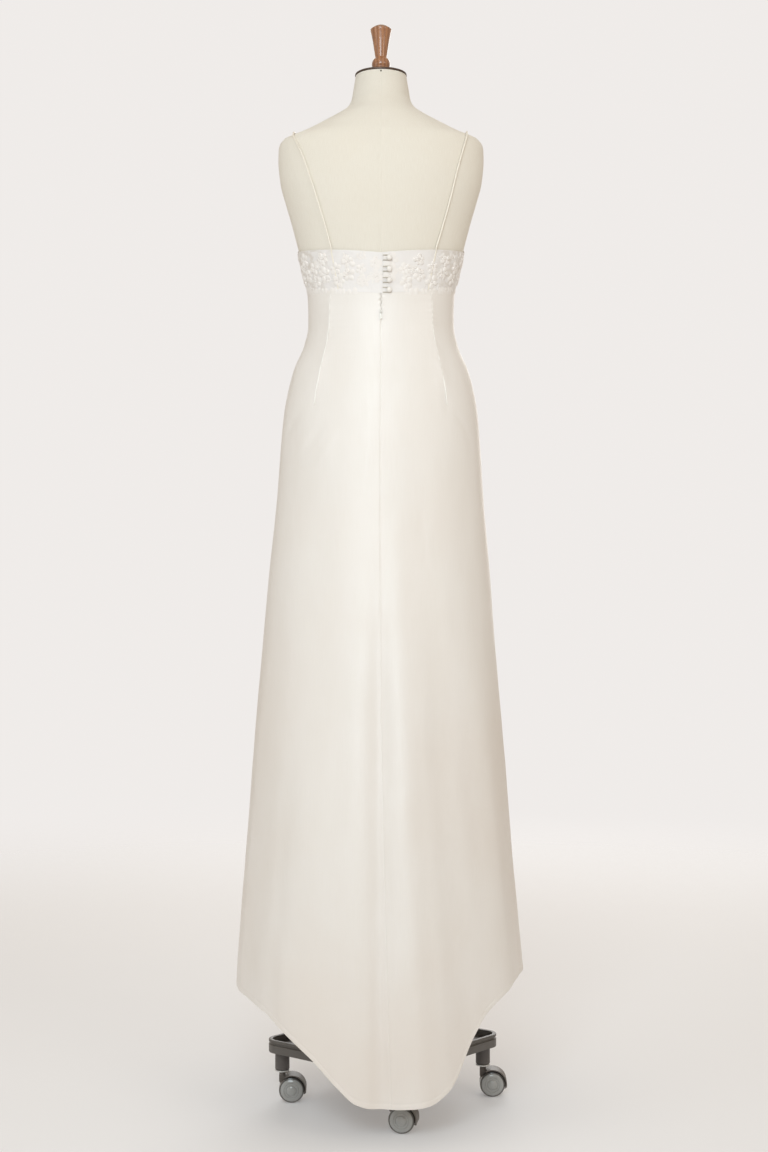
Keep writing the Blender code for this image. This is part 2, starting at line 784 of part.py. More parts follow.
def make_zip(metal):
    """A slider with two lugs that hold a bar, and a pull tab that hangs on the bar."""
    bar = zip_frame()
    lug_in = ZIP_EYE_WIDTH / 2 + SEAM_GAP
    lug_out = lug_in + ZIP_LUG
    plate = bar.y - ZIP_EYE_RADIUS - SEAM_GAP
    low, high = bar.z - ZIP_PLATE_HALF, bar.z + ZIP_PLATE_HALF
    bm = bmesh.new()
    box(bm, (-lug_out, plate - ZIP_PLATE, low), (lug_out, plate, high))
    slider = place("zip_slider", bm, metal)
    low, high = bar.z - ZIP_LUG_HALF, bar.z + ZIP_LUG_HALF
    for side in (-1, 1):
        bm = bmesh.new()
        ends = sorted((side * lug_in, side * lug_out))
        box(bm, (ends[0], plate - BITE, low), (ends[1], bar.y + ZIP_LUG_HALF, high))
        cut(slider, place("lug", bm, metal), "UNION")
    along_x = Matrix.Translation(bar) @ Matrix.Rotation(math.pi / 2, 4, "Y")
    reach = lug_in + BITE
    profile = [(ZIP_BAR_RADIUS, -reach), (ZIP_BAR_RADIUS, reach)]
    cut(slider, lathe("rod", profile, metal, sides=10, axis=along_x), "UNION")
    make_pull(bar, metal)


def make_pull(bar, metal):
    """A ring on the bar and a tab below it, with a round end."""
    half = ZIP_EYE_WIDTH / 2
    eye_profile = [
        (ZIP_EYE_HOLE, -half),
        (ZIP_EYE_RADIUS, -half),
        (ZIP_EYE_RADIUS, half),
        (ZIP_EYE_HOLE, half),
    ]
    sides = 16
    bm = bmesh.new()
    rings = []
    for radius, along in eye_profile:
        ring = []
        for k in range(sides):
            a = 2 * math.pi * k / sides
            ring.append(bm.verts.new((along, radius * math.cos(a), radius * math.sin(a))))
        rings.append(ring)
    bridge(bm, rings + [rings[0]], closed=True)
    pull = place("zip_pull", bm, metal)
    neck = BITE - ZIP_EYE_RADIUS
    round_end = ZIP_PULL_HALF - ZIP_PULL_LENGTH
    outline = [(-ZIP_NECK_HALF, neck), (ZIP_NECK_HALF, neck), (ZIP_PULL_HALF, round_end)]
    steps = 6
    for k in range(1, steps):
        a = -math.pi * k / steps
        outline.append((ZIP_PULL_HALF * math.cos(a), round_end + ZIP_PULL_HALF * math.sin(a)))
    outline.append((-ZIP_PULL_HALF, round_end))
    bm = bmesh.new()
    slab(bm, outline, -ZIP_TAB_HALF, ZIP_TAB_HALF)
    bmesh.ops.transform(bm, matrix=Matrix.Rotation(math.pi / 2, 4, "X"), verts=bm.verts)
    cut(pull, place("tab", bm, metal), "UNION")
    pull.location = bar


# ---------------------------------------------------------------- the form and the stand

def make_form(linen):
    bm = bmesh.new()
    heights = [row.height for row in FORM]
    levels = []
    for low, high in zip(heights, heights[1:]):
        parts = max(1, round((high - low) / FORM_STEP))
        levels += [low + (high - low) * k / parts for k in range(parts)]
    levels.append(heights[-1])
    rings = []
    for height in levels:
        turns = [360.0 * k / FORM_SIDES for k in range(FORM_SIDES)]
        rings.append([bm.verts.new(on_form(height, turn)) for turn in turns])
    bridge(bm, rings, closed=True)
    bm.faces.new(rings[0])
    bm.faces.new(rings[-1])
    place("form_torso", bm, linen, sharp=60.0)


def make_neck(cap_brown, wood):
    """The cap on the neck and the turned finial that stands on it."""
    foot = FORM[-1].height + SEAM_GAP
    lathe("neck_cap", [(row.radius, foot + row.up) for row in CAP], cap_brown, sides=24)
    foot += CAP[-1].up + SEAM_GAP
    lathe("finial", [(row.radius, foot + row.up) for row in FINIAL], wood, sides=16)


def corner_angle(number):
    return math.radians(CORNERS[number % 4] + 360.0 * (number // 4))


def around(centre, radius, angle):
    """A point on a circle, in plan."""
    return centre + radius * Vector((math.cos(angle), math.sin(angle)))


def base_outline(inset):
    """Four round corners over the castors, joined by sides that bow a little."""
    outline = []
    radius = BASE_CORNER - inset
    for number in range(4):
        middle, after = corner_angle(number), corner_angle(number + 1)
        here, there = (around(BASE_CENTRE, CASTOR_RADIUS, angle) for angle in (middle, after))
        corner = [around(here, radius, middle + math.radians(a)) for a in CORNER_ARC]
        start = corner[-1]
        end = around(there, radius, after + math.radians(CORNER_ARC[0]))
        outward = (start + end).normalized()
        outline += corner
        for k in range(1, SIDE_STEPS):
            t = k / SIDE_STEPS
            outline.append(start.lerp(end, t) + outward * BASE_BULGE * 4 * t * (1 - t))
    return outline


def make_base(grey, dark):
    """A rim with a groove round it, and the deck that it holds."""
    outer, groove = base_outline(0.0), base_outline(GROOVE_DEPTH)
    top_edge, inner = base_outline(GROOVE_BEVEL), base_outline(RIM_WIDTH)
    levels = (
        (outer, BASE_BOTTOM),
        (outer, BASE_TOP - GROOVE_BOTTOM),
        (groove, BASE_TOP - GROOVE_BOTTOM + GROOVE_BEVEL),
        (groove, BASE_TOP - GROOVE_TOP - GROOVE_BEVEL),
        (outer, BASE_TOP - GROOVE_TOP),
        (outer, BASE_TOP - GROOVE_BEVEL),
        (top_edge, BASE_TOP),
        (inner, BASE_TOP),
        (inner, BASE_BOTTOM),
    )
    bm = bmesh.new()
    rings = [[bm.verts.new((x, y, height)) for x, y in outline] for outline, height in levels]
    bridge(bm, rings + [rings[0]], closed=True)
    place("base_rim", bm, grey, sharp=30.0)

    bm = bmesh.new()
    slab(bm, base_outline(RIM_WIDTH + SEAM_GAP), DECK_BOTTOM, DECK_TOP)
    place("base_deck", bm, dark, sharp=30.0)


def make_pole(grey):
    """The pole, with its boss on the deck and the plate that carries the form."""
    foot = DECK_TOP + SEAM_GAP
    top = FORM[0].height - SEAM_GAP
    profile = (
        (BOSS_RADIUS, foot),
        (BOSS_RADIUS, foot + 0.008),
        (BOSS_RADIUS * 0.7, foot + 0.020),
        (POLE_RADIUS + COLLAR, BOSS_TOP - COLLAR),
        (POLE_RADIUS + COLLAR, BOSS_TOP),
        (POLE_RADIUS, BOSS_TOP),
        (POLE_RADIUS, top - PLATE_THICKNESS - COLLAR),
        (PLATE_RADIUS, top - PLATE_THICKNESS),
        (PLATE_RADIUS, top),
    )
    lathe("pole", profile, grey, sides=24)


def castor_place(number):
    """Where a castor's stem stands, with local -X the way that it trails."""
    spot = around(BASE_CENTRE, CASTOR_RADIUS, corner_angle(number))
    return spot.to_3d(), math.radians(TRAIL_WAY[number] - 180.0)


def wheel_profile():
    """Two domed wheels and the axle between them, as one turned piece along its axle."""
    inner = WEB_HALF + WHEEL_PLAY
    outer = inner + WHEEL_WIDTH
    half = [
        (AXLE_RADIUS, inner),
        (WHEEL_RADIUS - 0.0025, inner),
        (WHEEL_RADIUS, inner + 0.0025),
        (WHEEL_RADIUS, outer - 0.0050),
        (WHEEL_RADIUS - 0.0030, outer - 0.0012),
        (0.0140, outer + 0.0012),
        (0.0070, outer + 0.0026),
        (0.0, outer + 0.0030),
    ]
    return [(radius, -along) for radius, along in half[::-1]] + half


def hood_arc(radius, first, last, steps):
    """Part of a circle round the axle, in degrees up from the front."""
    arc = []
    for k in range(steps + 1):
        a = math.radians(first + (last - first) * k / steps)
        arc.append((-TRAIL + radius * math.cos(a), radius * math.sin(a)))
    return arc


def upright_slab(name, outline, half, axle, material):
    """A plate that stands along the way the castor trails, drawn round the axle's height."""
    bm = bmesh.new()
    slab(bm, outline, -half, half)
    turned = Matrix.Translation((0.0, 0.0, axle)) @ Matrix.Rotation(math.pi / 2, 4, "X")
    bmesh.ops.transform(bm, matrix=turned, verts=bm.verts)
    return place(name, bm, material)


def make_socket(name, spot, dark):
    """The barrel under the base, open from below for the stem."""
    top = DECK_BOTTOM - SEAM_GAP
    bore = STEM_RADIUS + STEM_PLAY
    bevel = 0.0010
    profile = [
        (bore, SOCKET_BOTTOM),
        (SOCKET_RADIUS - bevel, SOCKET_BOTTOM),
        (SOCKET_RADIUS, SOCKET_BOTTOM + bevel),
        (SOCKET_RADIUS, top),
        (0.0, top),
        (0.0, SOCKET_BOTTOM + SOCKET_DEPTH),
        (bore, SOCKET_BOTTOM + SOCKET_DEPTH),
    ]
    turned_tube(name, profile, dark, Matrix.Translation(spot))


def make_fork(name, axle, hood_grey):
    """The web between the wheels, the hood over them, and the stem with its washer."""
    web = hood_arc(HOOD_OUTER - BITE, 112.0, 205.0, 20)
    web += [(-TRAIL - 0.006, -0.007), (0.000, 0.004), (0.0055, 0.012), (0.0055, 0.0240)]
    fork = upright_slab(name, web, WEB_HALF, axle, hood_grey)
    brim = hood_arc(HOOD_OUTER, 62.0, 192.0, 32) + hood_arc(HOOD_INNER, 192.0, 62.0, 32)
    cut(fork, upright_slab("brim", brim, HOOD_HALF, axle, hood_grey), "UNION")
    boss = axle + WHEEL_RADIUS
    washer_low, washer_high = SOCKET_BOTTOM - WASHER_BOTTOM, SOCKET_BOTTOM - WASHER_TOP
    stem_top = SOCKET_BOTTOM + SOCKET_DEPTH - STEM_HEADROOM
    stem = [
        (0.0, boss),
        (BOSS_HALF, boss),
        (BOSS_HALF, washer_low - BITE),
        (WASHER_RADIUS, washer_low),
        (WASHER_RADIUS, washer_high),
        (STEM_RADIUS, washer_high + BITE),
        (STEM_RADIUS, stem_top),
        (0.0, stem_top),
    ]
    cut(fork, lathe("stem", stem, hood_grey, sides=32), "UNION")
    hole = [(AXLE_RADIUS + AXLE_PLAY, -WEB_HALF * 4), (AXLE_RADIUS + AXLE_PLAY, WEB_HALF * 4)]
    across = Matrix.Translation((-TRAIL, 0, axle)) @ Matrix.Rotation(math.pi / 2, 4, "X")
    cut(fork, lathe("hole", hole, hood_grey, sides=16, axis=across))
    return fork


def make_castor(number, dark, hood_grey, disc_grey):
    """A fixed socket, a fork that swivels in it, and the wheels on their axle."""
    spot, way = castor_place(number)
    axle = WHEEL_RADIUS * math.cos(math.pi / WHEEL_SIDES)
    stand = Matrix.Translation(spot) @ Matrix.Rotation(way, 4, "Z")
    name = f"castor_{number + 1}"
    make_socket(name + "_socket", spot, dark)
    fork = make_fork(name + "_fork", axle, hood_grey)
    fork.matrix_world = stand
    lying = Matrix.Rotation(math.pi / 2, 4, "X")
    wheels = lathe(name + "_wheels", wheel_profile(), disc_grey, sides=WHEEL_SIDES, axis=lying)
    wheels.matrix_world = stand @ Matrix.Translation((-TRAIL, 0, axle))


def turned_tube(name, profile, material, placed, sides=36):
    """Turn a closed outline round Z. Points on the axis become the ends of the bore."""
    bm = bmesh.new()
    rings = []
    for radius, height in profile:
        ring = []
        for k in range(sides if radius else 1):
            a = 2 * math.pi * (k + 0.5) / sides
            ring.append(bm.verts.new((radius * math.cos(a), radius * math.sin(a), height)))
        rings.append(ring)
    for low, high in zip(rings, rings[1:] + rings[:1]):
        if len(low) == 1 and len(high) == 1:
            continue
        for k in range(sides):
            n = (k + 1) % sides
            corners = [low[k % len(low)], low[n % len(low)], high[n % len(high)], high[k % len(high)]]
            bm.faces.new(list(dict.fromkeys(corners)))
    bmesh.ops.transform(bm, matrix=placed, verts=bm.verts)
    return place(name, bm, material)


def stand_on(place_of_pole):
    """Hang every piece on one empty at the foot of the pole."""
    pieces = list(bpy.data.objects)
    pole_foot = bpy.data.objects.new("pole_foot", None)
    bpy.context.collection.objects.link(pole_foot)
    pole_foot.location = place_of_pole
    for piece in pieces:
        piece.parent = pole_foot


def build():
    for old in list(bpy.data.objects):
        bpy.data.objects.remove(old)
    satin = paint("satin", (0.87, 0.82, 0.73), 0.38)
    lace = paint("lace", (0.90, 0.86, 0.80), 0.60)
    linen = paint("linen", (0.80, 0.75, 0.64), 0.85)
    wood = paint("finial_wood", (0.33, 0.15, 0.07), 0.28)
    cap_brown = paint("cap_metal", (0.09, 0.06, 0.045), 0.40, 0.6)
    grey = paint("painted_base", (0.10, 0.09, 0.08), 0.45)
    dark = paint("socket_plastic", (0.07, 0.06, 0.055), 0.50)
    hood_grey = paint("hood_plastic", (0.12, 0.11, 0.10), 0.45)
    disc_grey = paint("wheel_plastic", (0.24, 0.24, 0.22), 0.35)
    zip_metal = paint("zip_metal", (0.55, 0.53, 0.48), 0.35, 1.0)
    make_skirt(satin)
    make_bodice(lace)
    make_straps(satin)
    make_buttons(satin)
    make_zip(zip_metal)
    make_form(linen)
    make_neck(cap_brown, wood)
    make_base(grey, dark)
    make_pole(grey)
    for number in range(4):
        make_castor(number, dark, hood_grey, disc_grey)
    stand_on(POLE_AXIS)


build()
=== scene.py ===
"""The looks of a satin wedding dress, worn by a linen dress form on a castor stand.

Metres, +Z up. The wearer's front faces -Y and the wearer's left is +X. A turn is an angle round
the body in degrees: 0 at the centre back, 90 at the wearer's left side, 180 at the centre front.
"""

import math
import random
from collections import namedtuple

import bmesh
import bpy
import numpy as np
from mathutils import Matrix, Vector, noise


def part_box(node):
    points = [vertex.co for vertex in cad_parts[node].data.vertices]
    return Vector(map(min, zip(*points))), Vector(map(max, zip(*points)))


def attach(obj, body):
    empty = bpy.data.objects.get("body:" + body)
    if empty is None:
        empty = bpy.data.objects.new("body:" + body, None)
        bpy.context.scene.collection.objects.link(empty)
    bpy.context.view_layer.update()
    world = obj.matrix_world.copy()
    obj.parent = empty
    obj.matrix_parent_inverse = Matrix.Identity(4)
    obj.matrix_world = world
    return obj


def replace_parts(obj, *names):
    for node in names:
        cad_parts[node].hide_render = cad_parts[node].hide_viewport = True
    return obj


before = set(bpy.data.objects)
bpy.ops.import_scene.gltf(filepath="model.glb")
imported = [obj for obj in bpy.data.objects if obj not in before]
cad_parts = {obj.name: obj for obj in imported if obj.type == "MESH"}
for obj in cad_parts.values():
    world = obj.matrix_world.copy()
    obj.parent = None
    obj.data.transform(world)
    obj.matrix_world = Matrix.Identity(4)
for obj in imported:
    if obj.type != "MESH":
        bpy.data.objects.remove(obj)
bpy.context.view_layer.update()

ROOT = "dress_and_stand"
pole_low, pole_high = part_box("pole")
POLE = np.array([(pole_low[0] + pole_high[0]) / 2, (pole_low[1] + pole_high[1]) / 2, 0.0])

# ---------------------------------------------------------------- the shapes' tables

Girth = namedtuple("Girth", "height half_width back front")

FORM = (
    Girth(1.0010, 0.155, 0.098, 0.093),
    Girth(1.0510, 0.163, 0.110, 0.098),
    Girth(1.1160, 0.167, 0.118, 0.102),
    Girth(1.1710, 0.167, 0.117, 0.104),
    Girth(1.2210, 0.160, 0.109, 0.101),
    Girth(1.2610, 0.1515, 0.100, 0.097),
    Girth(1.3110, 0.1325, 0.091, 0.091),
    Girth(1.3510, 0.1243, 0.087, 0.088),
    Girth(1.4010, 0.1255, 0.089, 0.092),
    Girth(1.4410, 0.1345, 0.094, 0.098),
    Girth(1.4810, 0.1440, 0.099, 0.105),
    Girth(1.5270, 0.1560, 0.104, 0.112),
    Girth(1.5650, 0.1670, 0.107, 0.112),
    Girth(1.6000, 0.1762, 0.107, 0.106),
    Girth(1.6400, 0.1798, 0.103, 0.096),
    Girth(1.6620, 0.1790, 0.098, 0.088),
    Girth(1.6745, 0.1712, 0.094, 0.083),
    Girth(1.6830, 0.1495, 0.090, 0.079),
    Girth(1.6935, 0.1260, 0.085, 0.075),
    Girth(1.7052, 0.1030, 0.079, 0.070),
    Girth(1.7175, 0.0795, 0.072, 0.066),
    Girth(1.7300, 0.0610, 0.063, 0.061),
    Girth(1.7440, 0.0525, 0.054, 0.055),
    Girth(1.7670, 0.0482, 0.048, 0.050),
    Girth(1.7880, 0.0448, 0.0448, 0.0448),
)
SKIRT = (
    Girth(1.4310, 0.1322, 0.0945, 0.0985),
    Girth(1.4010, 0.1280, 0.0915, 0.0945),
    Girth(1.3710, 0.1269, 0.0902, 0.0930),
    Girth(1.3500, 0.1272, 0.0905, 0.0930),
    Girth(1.3130, 0.1352, 0.0945, 0.0950),
    Girth(1.2780, 0.1500, 0.1015, 0.1000),
    Girth(1.2410, 0.1608, 0.1110, 0.1060),
    Girth(1.1960, 0.1692, 0.1190, 0.1110),
    Girth(1.1410, 0.1742, 0.1260, 0.1140),
    Girth(1.0500, 0.1804, 0.1345, 0.1180),
    Girth(0.8510, 0.1990, 0.1570, 0.1310),
    Girth(0.6250, 0.2170, 0.1860, 0.1480),
    Girth(0.4640, 0.2300, 0.2080, 0.1620),
    Girth(0.3030, 0.2440, 0.2280, 0.1780),
    Girth(0.2210, 0.2500, 0.2370, 0.1860),
    Girth(0.0410, 0.2560, 0.2540, 0.2000),
)
CUP_SIDE, CUP_HEIGHT, CUP_WIDTH, CUP_TALL = 0.074, 1.511, 0.056, 0.062
CUP_RISE, CUP_EASE, CUP_BLEND = 0.036, 0.0016, 0.03
WORN = 0.0025                  # outer face of the worn cloth, from the form

# A soft fold of the skirt: where it runs, its spread, how far it stands out at the hem and the
# height at which it has died away.
Fold = namedtuple("Fold", "turn spread rise top")

FOLDS = (
    Fold(-17.0, 7.5, 0.0070, 1.05),
    Fold(0.5, 5.0, -0.0030, 0.92),
    Fold(36.0, 13.0, 0.0100, 0.98),
    Fold(62.0, 9.0, -0.0060, 0.80),
    Fold(-39.0, 9.0, -0.0070, 0.95),
    Fold(-58.0, 8.0, 0.0045, 1.00),
    Fold(-73.0, 7.0, -0.0055, 0.75),
    Fold(112.0, 9.0, -0.0090, 0.85),
    Fold(134.0, 10.0, 0.0080, 1.00),
    Fold(160.0, 9.0, -0.0080, 0.80),
    Fold(181.0, 11.0, 0.0085, 0.95),
    Fold(204.0, 9.0, -0.0075, 0.85),
    Fold(228.0, 10.0, 0.0075, 0.90),
    Fold(250.0, 8.0, -0.0085, 0.80),
)

# A crease runs from one turn and height to another. Depth is negative for a trough.
Crease = namedtuple("Crease", "turn height turn_low height_low width depth")

CREASES = (
    Crease(0.2, 1.04, -0.2, -0.35, 0.0160, -0.0058),
    Crease(-12.0, 1.12, -15.0, -0.35, 0.0220, 0.0044),
    Crease(-33.0, 0.98, -35.0, -0.20, 0.0320, -0.0022),
    Crease(9.0, 1.26, 11.0, 1.05, 0.0140, 0.0009),
    Crease(-29.0, 1.040, -30.5, 0.910, 0.0080, -0.0006),
    Crease(-33.0, 1.030, -34.0, 0.920, 0.0080, 0.0004),
    Crease(40.0, 1.190, 58.0, 1.115, 0.0100, -0.0011),
    Crease(32.0, 1.165, 48.0, 1.090, 0.0090, 0.0009),
    Crease(62.0, 1.205, 76.0, 1.145, 0.0110, -0.0011),
    Crease(48.0, 1.345, 56.0, 1.300, 0.0050, -0.0006),
    Crease(46.0, 1.310, 54.0, 1.262, 0.0060, 0.0006),
    Crease(-50.0, 1.340, -57.0, 1.300, 0.0060, -0.0006),
    Crease(-48.0, 1.290, -55.0, 1.245, 0.0060, 0.0006),
    Crease(-58.0, 1.200, -72.0, 1.135, 0.0100, -0.0011),
    Crease(20.0, 0.98, 24.0, -0.25, 0.0200, -0.0013),
    Crease(-24.0, 0.90, -26.0, -0.20, 0.0160, 0.0010),
    Crease(-47.0, 0.88, -50.0, -0.10, 0.0200, -0.0013),
    Crease(-60.0, 0.84, -63.0, -0.10, 0.0180, 0.0014),
    Crease(45.0, 0.82, 48.0, -0.10, 0.0180, -0.0015),
    Crease(72.0, 0.96, 75.0, -0.05, 0.0160, 0.0012),
    Crease(-75.0, 0.92, -79.0, -0.05, 0.0180, -0.0014),
    Crease(104.0, 1.02, 101.0, -0.05, 0.0160, 0.0013),
    Crease(123.0, 0.88, 120.0, -0.10, 0.0180, -0.0015),
    Crease(150.0, 1.02, 154.0, -0.10, 0.0180, -0.0018),
    Crease(171.0, 0.90, 173.0, -0.10, 0.0150, 0.0015),
    Crease(197.0, 1.06, 195.0, -0.10, 0.0200, -0.0018),
    Crease(216.0, 0.82, 213.0, -0.10, 0.0160, 0.0014),
    Crease(240.0, 0.96, 243.0, -0.10, 0.0180, -0.0016),
    Crease(259.0, 0.90, 256.0, -0.05, 0.0150, 0.0012),
    Crease(166.0, 1.415, 160.0, 1.300, 0.0070, -0.0007),
    Crease(195.0, 1.410, 202.0, 1.310, 0.0080, -0.0008),
    Crease(179.0, 1.390, 176.0, 1.270, 0.0090, 0.0006),
    Crease(130.0, 1.215, 140.0, 1.120, 0.0100, -0.0009),
    Crease(229.0, 1.200, 221.0, 1.130, 0.0100, -0.0008),
)

Edge = namedtuple("Edge", "turn height")

WAIST_SEAM = (
    Edge(0.0, 1.3940),
    Edge(45.0, 1.4000),
    Edge(90.0, 1.4125),
    Edge(135.0, 1.4180),
    Edge(180.0, 1.4190),
)
BAND_TOP = (Edge(0.0, 1.4600), Edge(45.0, 1.4680), Edge(90.0, 1.4780))
NECKLINE = (
    Edge(90.0, 1.4780),
    Edge(104.0, 1.4970),
    Edge(118.0, 1.5330),
    Edge(130.0, 1.5670),
    Edge(138.0, 1.5770),
    Edge(149.0, 1.5650),
    Edge(163.0, 1.5470),
    Edge(180.0, 1.5390),
)
HEM = (
    Edge(-180.0, 0.2360),
    Edge(-130.0, 0.2350),
    Edge(-95.0, 0.2320),
    Edge(-67.0, 0.2265),
    Edge(-56.0, 0.2120),
    Edge(-47.0, 0.1900),
    Edge(-40.0, 0.1570),
    Edge(-35.0, 0.1270),
    Edge(-30.0, 0.0970),
    Edge(-25.0, 0.0780),
    Edge(-18.0, 0.0630),
    Edge(-10.0, 0.0585),
    Edge(-3.0, 0.0575),
    Edge(3.0, 0.0580),
    Edge(9.0, 0.0645),
    Edge(17.0, 0.0935),
    Edge(27.0, 0.1340),
    Edge(40.0, 0.1700),
    Edge(51.0, 0.1900),
    Edge(67.0, 0.2000),
    Edge(95.0, 0.2080),
    Edge(130.0, 0.2290),
    Edge(180.0, 0.2360),
)
HEM_LOWEST = min(edge.height for edge in HEM)
FOLD_GROWTH = 1.3              # the power with which a fold stands out as it falls
CREASE_FADES = (0.35, 0.3)     # the shares of a crease's length over which it comes and goes
SIDE_TURN = 90.0
CLOSING_TURN = -1.8
SEAM_DRIFT, SEAM_STRAIGHT, DRIFT_GROWTH = 3.8, 1.20, 1.2
DART_TURN, DART_END = 52.0, 1.208
DART_SWELL, DART_SOFTNESS, DART_GROWS_OVER = 0.0022, 9.0, 0.08
SWAY, SWAY_TOP, SWAY_BOTTOM = 0.0038, 1.25, 0.08
LEAVES_FORM = 0.040
SEAM_GAP = 0.0003
ZIP_BAR_HEIGHT = 1.3610
ZIP_OPENING = 0.0010

StrapPoint = namedtuple("StrapPoint", "height side")

STRAP_RADIUS = 0.0015
STRAP_LIFT = 0.0022
TAIL_PRESSED = {"left": 0.80, "right": 0.60}
STRAP_BACK = {
    "left": (
        StrapPoint(1.4690, 0.0830), StrapPoint(1.5130, 0.0950), StrapPoint(1.5746, 0.1140),
        StrapPoint(1.6295, 0.1325), StrapPoint(1.6700, 0.1500),
    ),
    "right": (
        StrapPoint(1.4700, 0.0920), StrapPoint(1.4990, 0.1010), StrapPoint(1.5600, 0.1180),
        StrapPoint(1.6126, 0.1310), StrapPoint(1.6700, 0.1470),
    ),
}
STRAP_FRONT = (StrapPoint(1.6700, 0.1490), StrapPoint(1.6260, 0.1210), StrapPoint(1.5790, 0.0860))

BUTTON_HEIGHTS = (1.4520, 1.4335, 1.4150, 1.3985)
BUTTON_SIDE = -0.0135
BUTTON_RADIUS, BUTTON_RISE = 0.0046, 0.0030
SHANK_RADIUS, SHANK_RISE = 0.0026, 0.0027
LOOP_WIRE = 0.0009
LOOP_FOOT = -0.0028


# ---------------------------------------------------------------- curves and surfaces

class Curve:
    """A smooth curve through a table's rows, which never overshoots them."""

    def __init__(self, table, key, column):
        rows = sorted(table, key=lambda row: getattr(row, key))
        self.keys = np.array([getattr(row, key) for row in rows], float)
        self.ends = np.array([getattr(row, column) for row in rows], float)
        rates = np.diff(self.ends) / np.diff(self.keys)
        before, after = rates[:-1], rates[1:]
        total = np.where(before * after > 0, before + after, 1.0)
        inner = np.where(before * after > 0, 2 * before * after / total, 0.0)
        self.slopes = np.concatenate([rates[:1], inner, rates[-1:]])

    def __call__(self, at):
        at = np.clip(at, self.keys[0], self.keys[-1])
        i = np.clip(np.searchsorted(self.keys, at, side="right") - 1, 0, len(self.keys) - 2)
        step = self.keys[i + 1] - self.keys[i]
        t = (at - self.keys[i]) / step
        return ((1 + 2 * t) * (1 - t) ** 2 * self.ends[i] + t * (1 - t) ** 2 * step * self.slopes[i]
                + t * t * (3 - 2 * t) * self.ends[i + 1] + t * t * (t - 1) * step * self.slopes[i + 1])


class Body:
    """The round of a body at any height, as two half ellipses."""

    def __init__(self, table):
        self.half_width, self.back, self.front = (
            Curve(table, "height", column) for column in ("half_width", "back", "front"))

    def point(self, height, turn, out):
        across, along = np.sin(np.radians(turn)), np.cos(np.radians(turn))
        depth = np.where(along > 0, self.back(height), self.front(height))
        reach = 1.0 / np.hypot(across / (self.half_width(height) + out), along / (depth + out))
        return np.stack([reach * across, reach * along, height + 0.0 * reach], axis=-1)


form_body, skirt_body = Body(FORM), Body(SKIRT)
waist_curve, band_curve, neck_curve, hem_curve = (
    Curve(table, "turn", "height") for table in (WAIST_SEAM, BAND_TOP, NECKLINE, HEM))


def wrapped(turn):
    return (turn + 180.0) % 360.0 - 180.0


def waist_seam(turn):
    return waist_curve(abs(wrapped(turn)))


def band_top(turn):
    return band_curve(abs(wrapped(turn)))


def neckline(turn):
    return neck_curve(abs(wrapped(turn)))


def hem_height(turn):
    return hem_curve(wrapped(turn))


def ease(share):
    """0 to 1, starting and ending softly."""
    share = np.clip(share, 0.0, 1.0)
    return share * share * (3.0 - 2.0 * share)


def hump(away, width):
    return np.exp(-(away / width) ** 2)


def on_form(height, turn, out=0.0, rise=CUP_RISE):
    """A point on the form, or on what is worn a little way out from it, round the pole's axis."""
    point = form_body.point(height, turn, out)
    facing = np.clip(-point[..., 1] / CUP_BLEND, 0.0, 1.0)
    aside = (np.abs(point[..., 0]) - CUP_SIDE) / CUP_WIDTH
    above = (height - CUP_HEIGHT) / CUP_TALL
    point[..., 1] -= rise * facing * np.exp(-aside * aside - above * above)
    return point


def on_bodice(height, turn, out=0.0):
    return on_form(height, turn, WORN + out, CUP_RISE + CUP_EASE)


SHORT_RISE, SHORT_TURN = 0.0005, 0.25


def way_out(surface, height, turn):
    """The unit normal of a surface, from two short steps along it."""
    up = surface(height + SHORT_RISE, turn) - surface(height - SHORT_RISE, turn)
    around = surface(height, turn + SHORT_TURN) - surface(height, turn - SHORT_TURN)
    normal = np.cross(up, around)
    normal /= np.linalg.norm(normal, axis=-1, keepdims=True)
    outward = np.stack([np.sin(np.radians(turn)), np.cos(np.radians(turn))], axis=-1)
    facing = (normal[..., :2] * outward).sum(-1, keepdims=True)
    return np.where(facing > -0.001, normal, -normal)


def radius_at(height, turn):
    return np.linalg.norm(skirt_body.point(height, turn, 0.0)[..., :2], axis=-1)


def fold_rise(height, turn):
    rise = 0.0
    for fold in FOLDS:
        away = wrapped(turn - fold.turn) / fold.spread
        grown = np.clip((fold.top - height) / fold.top, 0.0, None)
        rise = rise + fold.rise * grown ** FOLD_GROWTH * np.exp(-0.5 * away * away)
    return rise


def crease_rise(height, turn):
    """Troughs and ridges, each fading in and out along its length."""
    rise = 0.0
    radius = radius_at(height, turn)
    for crease in CREASES:
        along = (crease.height - height) / (crease.height - crease.height_low)
        middle = crease.turn + (crease.turn_low - crease.turn) * along
        away = np.radians(wrapped(turn - middle)) * radius
        fading = ease(along / CREASE_FADES[0]) * ease((1.0 - along) / CREASE_FADES[1])
        rise = rise + crease.depth * fading * hump(away, crease.width)
    return rise


def dart_swell(height, turn):
    past = np.abs(np.abs(wrapped(turn)) - DART_TURN) / DART_SOFTNESS
    return DART_SWELL * np.clip((height - DART_END) / DART_GROWS_OVER, 0.0, 1.0) * np.exp(-past)


def on_skirt(height, turn, out=0.0):
    """The skirt's outer face, with its folds. It leaves the form's shape below the waist seam."""
    swell = out + dart_swell(height, turn) + fold_rise(height, turn)
    point = skirt_body.point(height, turn, swell)
    swung = np.clip((SWAY_TOP - height) / (SWAY_TOP - SWAY_BOTTOM), 0.0, 1.0)
    point[..., 0] += SWAY * np.sin(np.pi * swung)
    share = ease((waist_seam(turn) - height) / LEAVES_FORM)[..., None]
    return on_bodice(height, turn, out) * (1.0 - share) + point * share


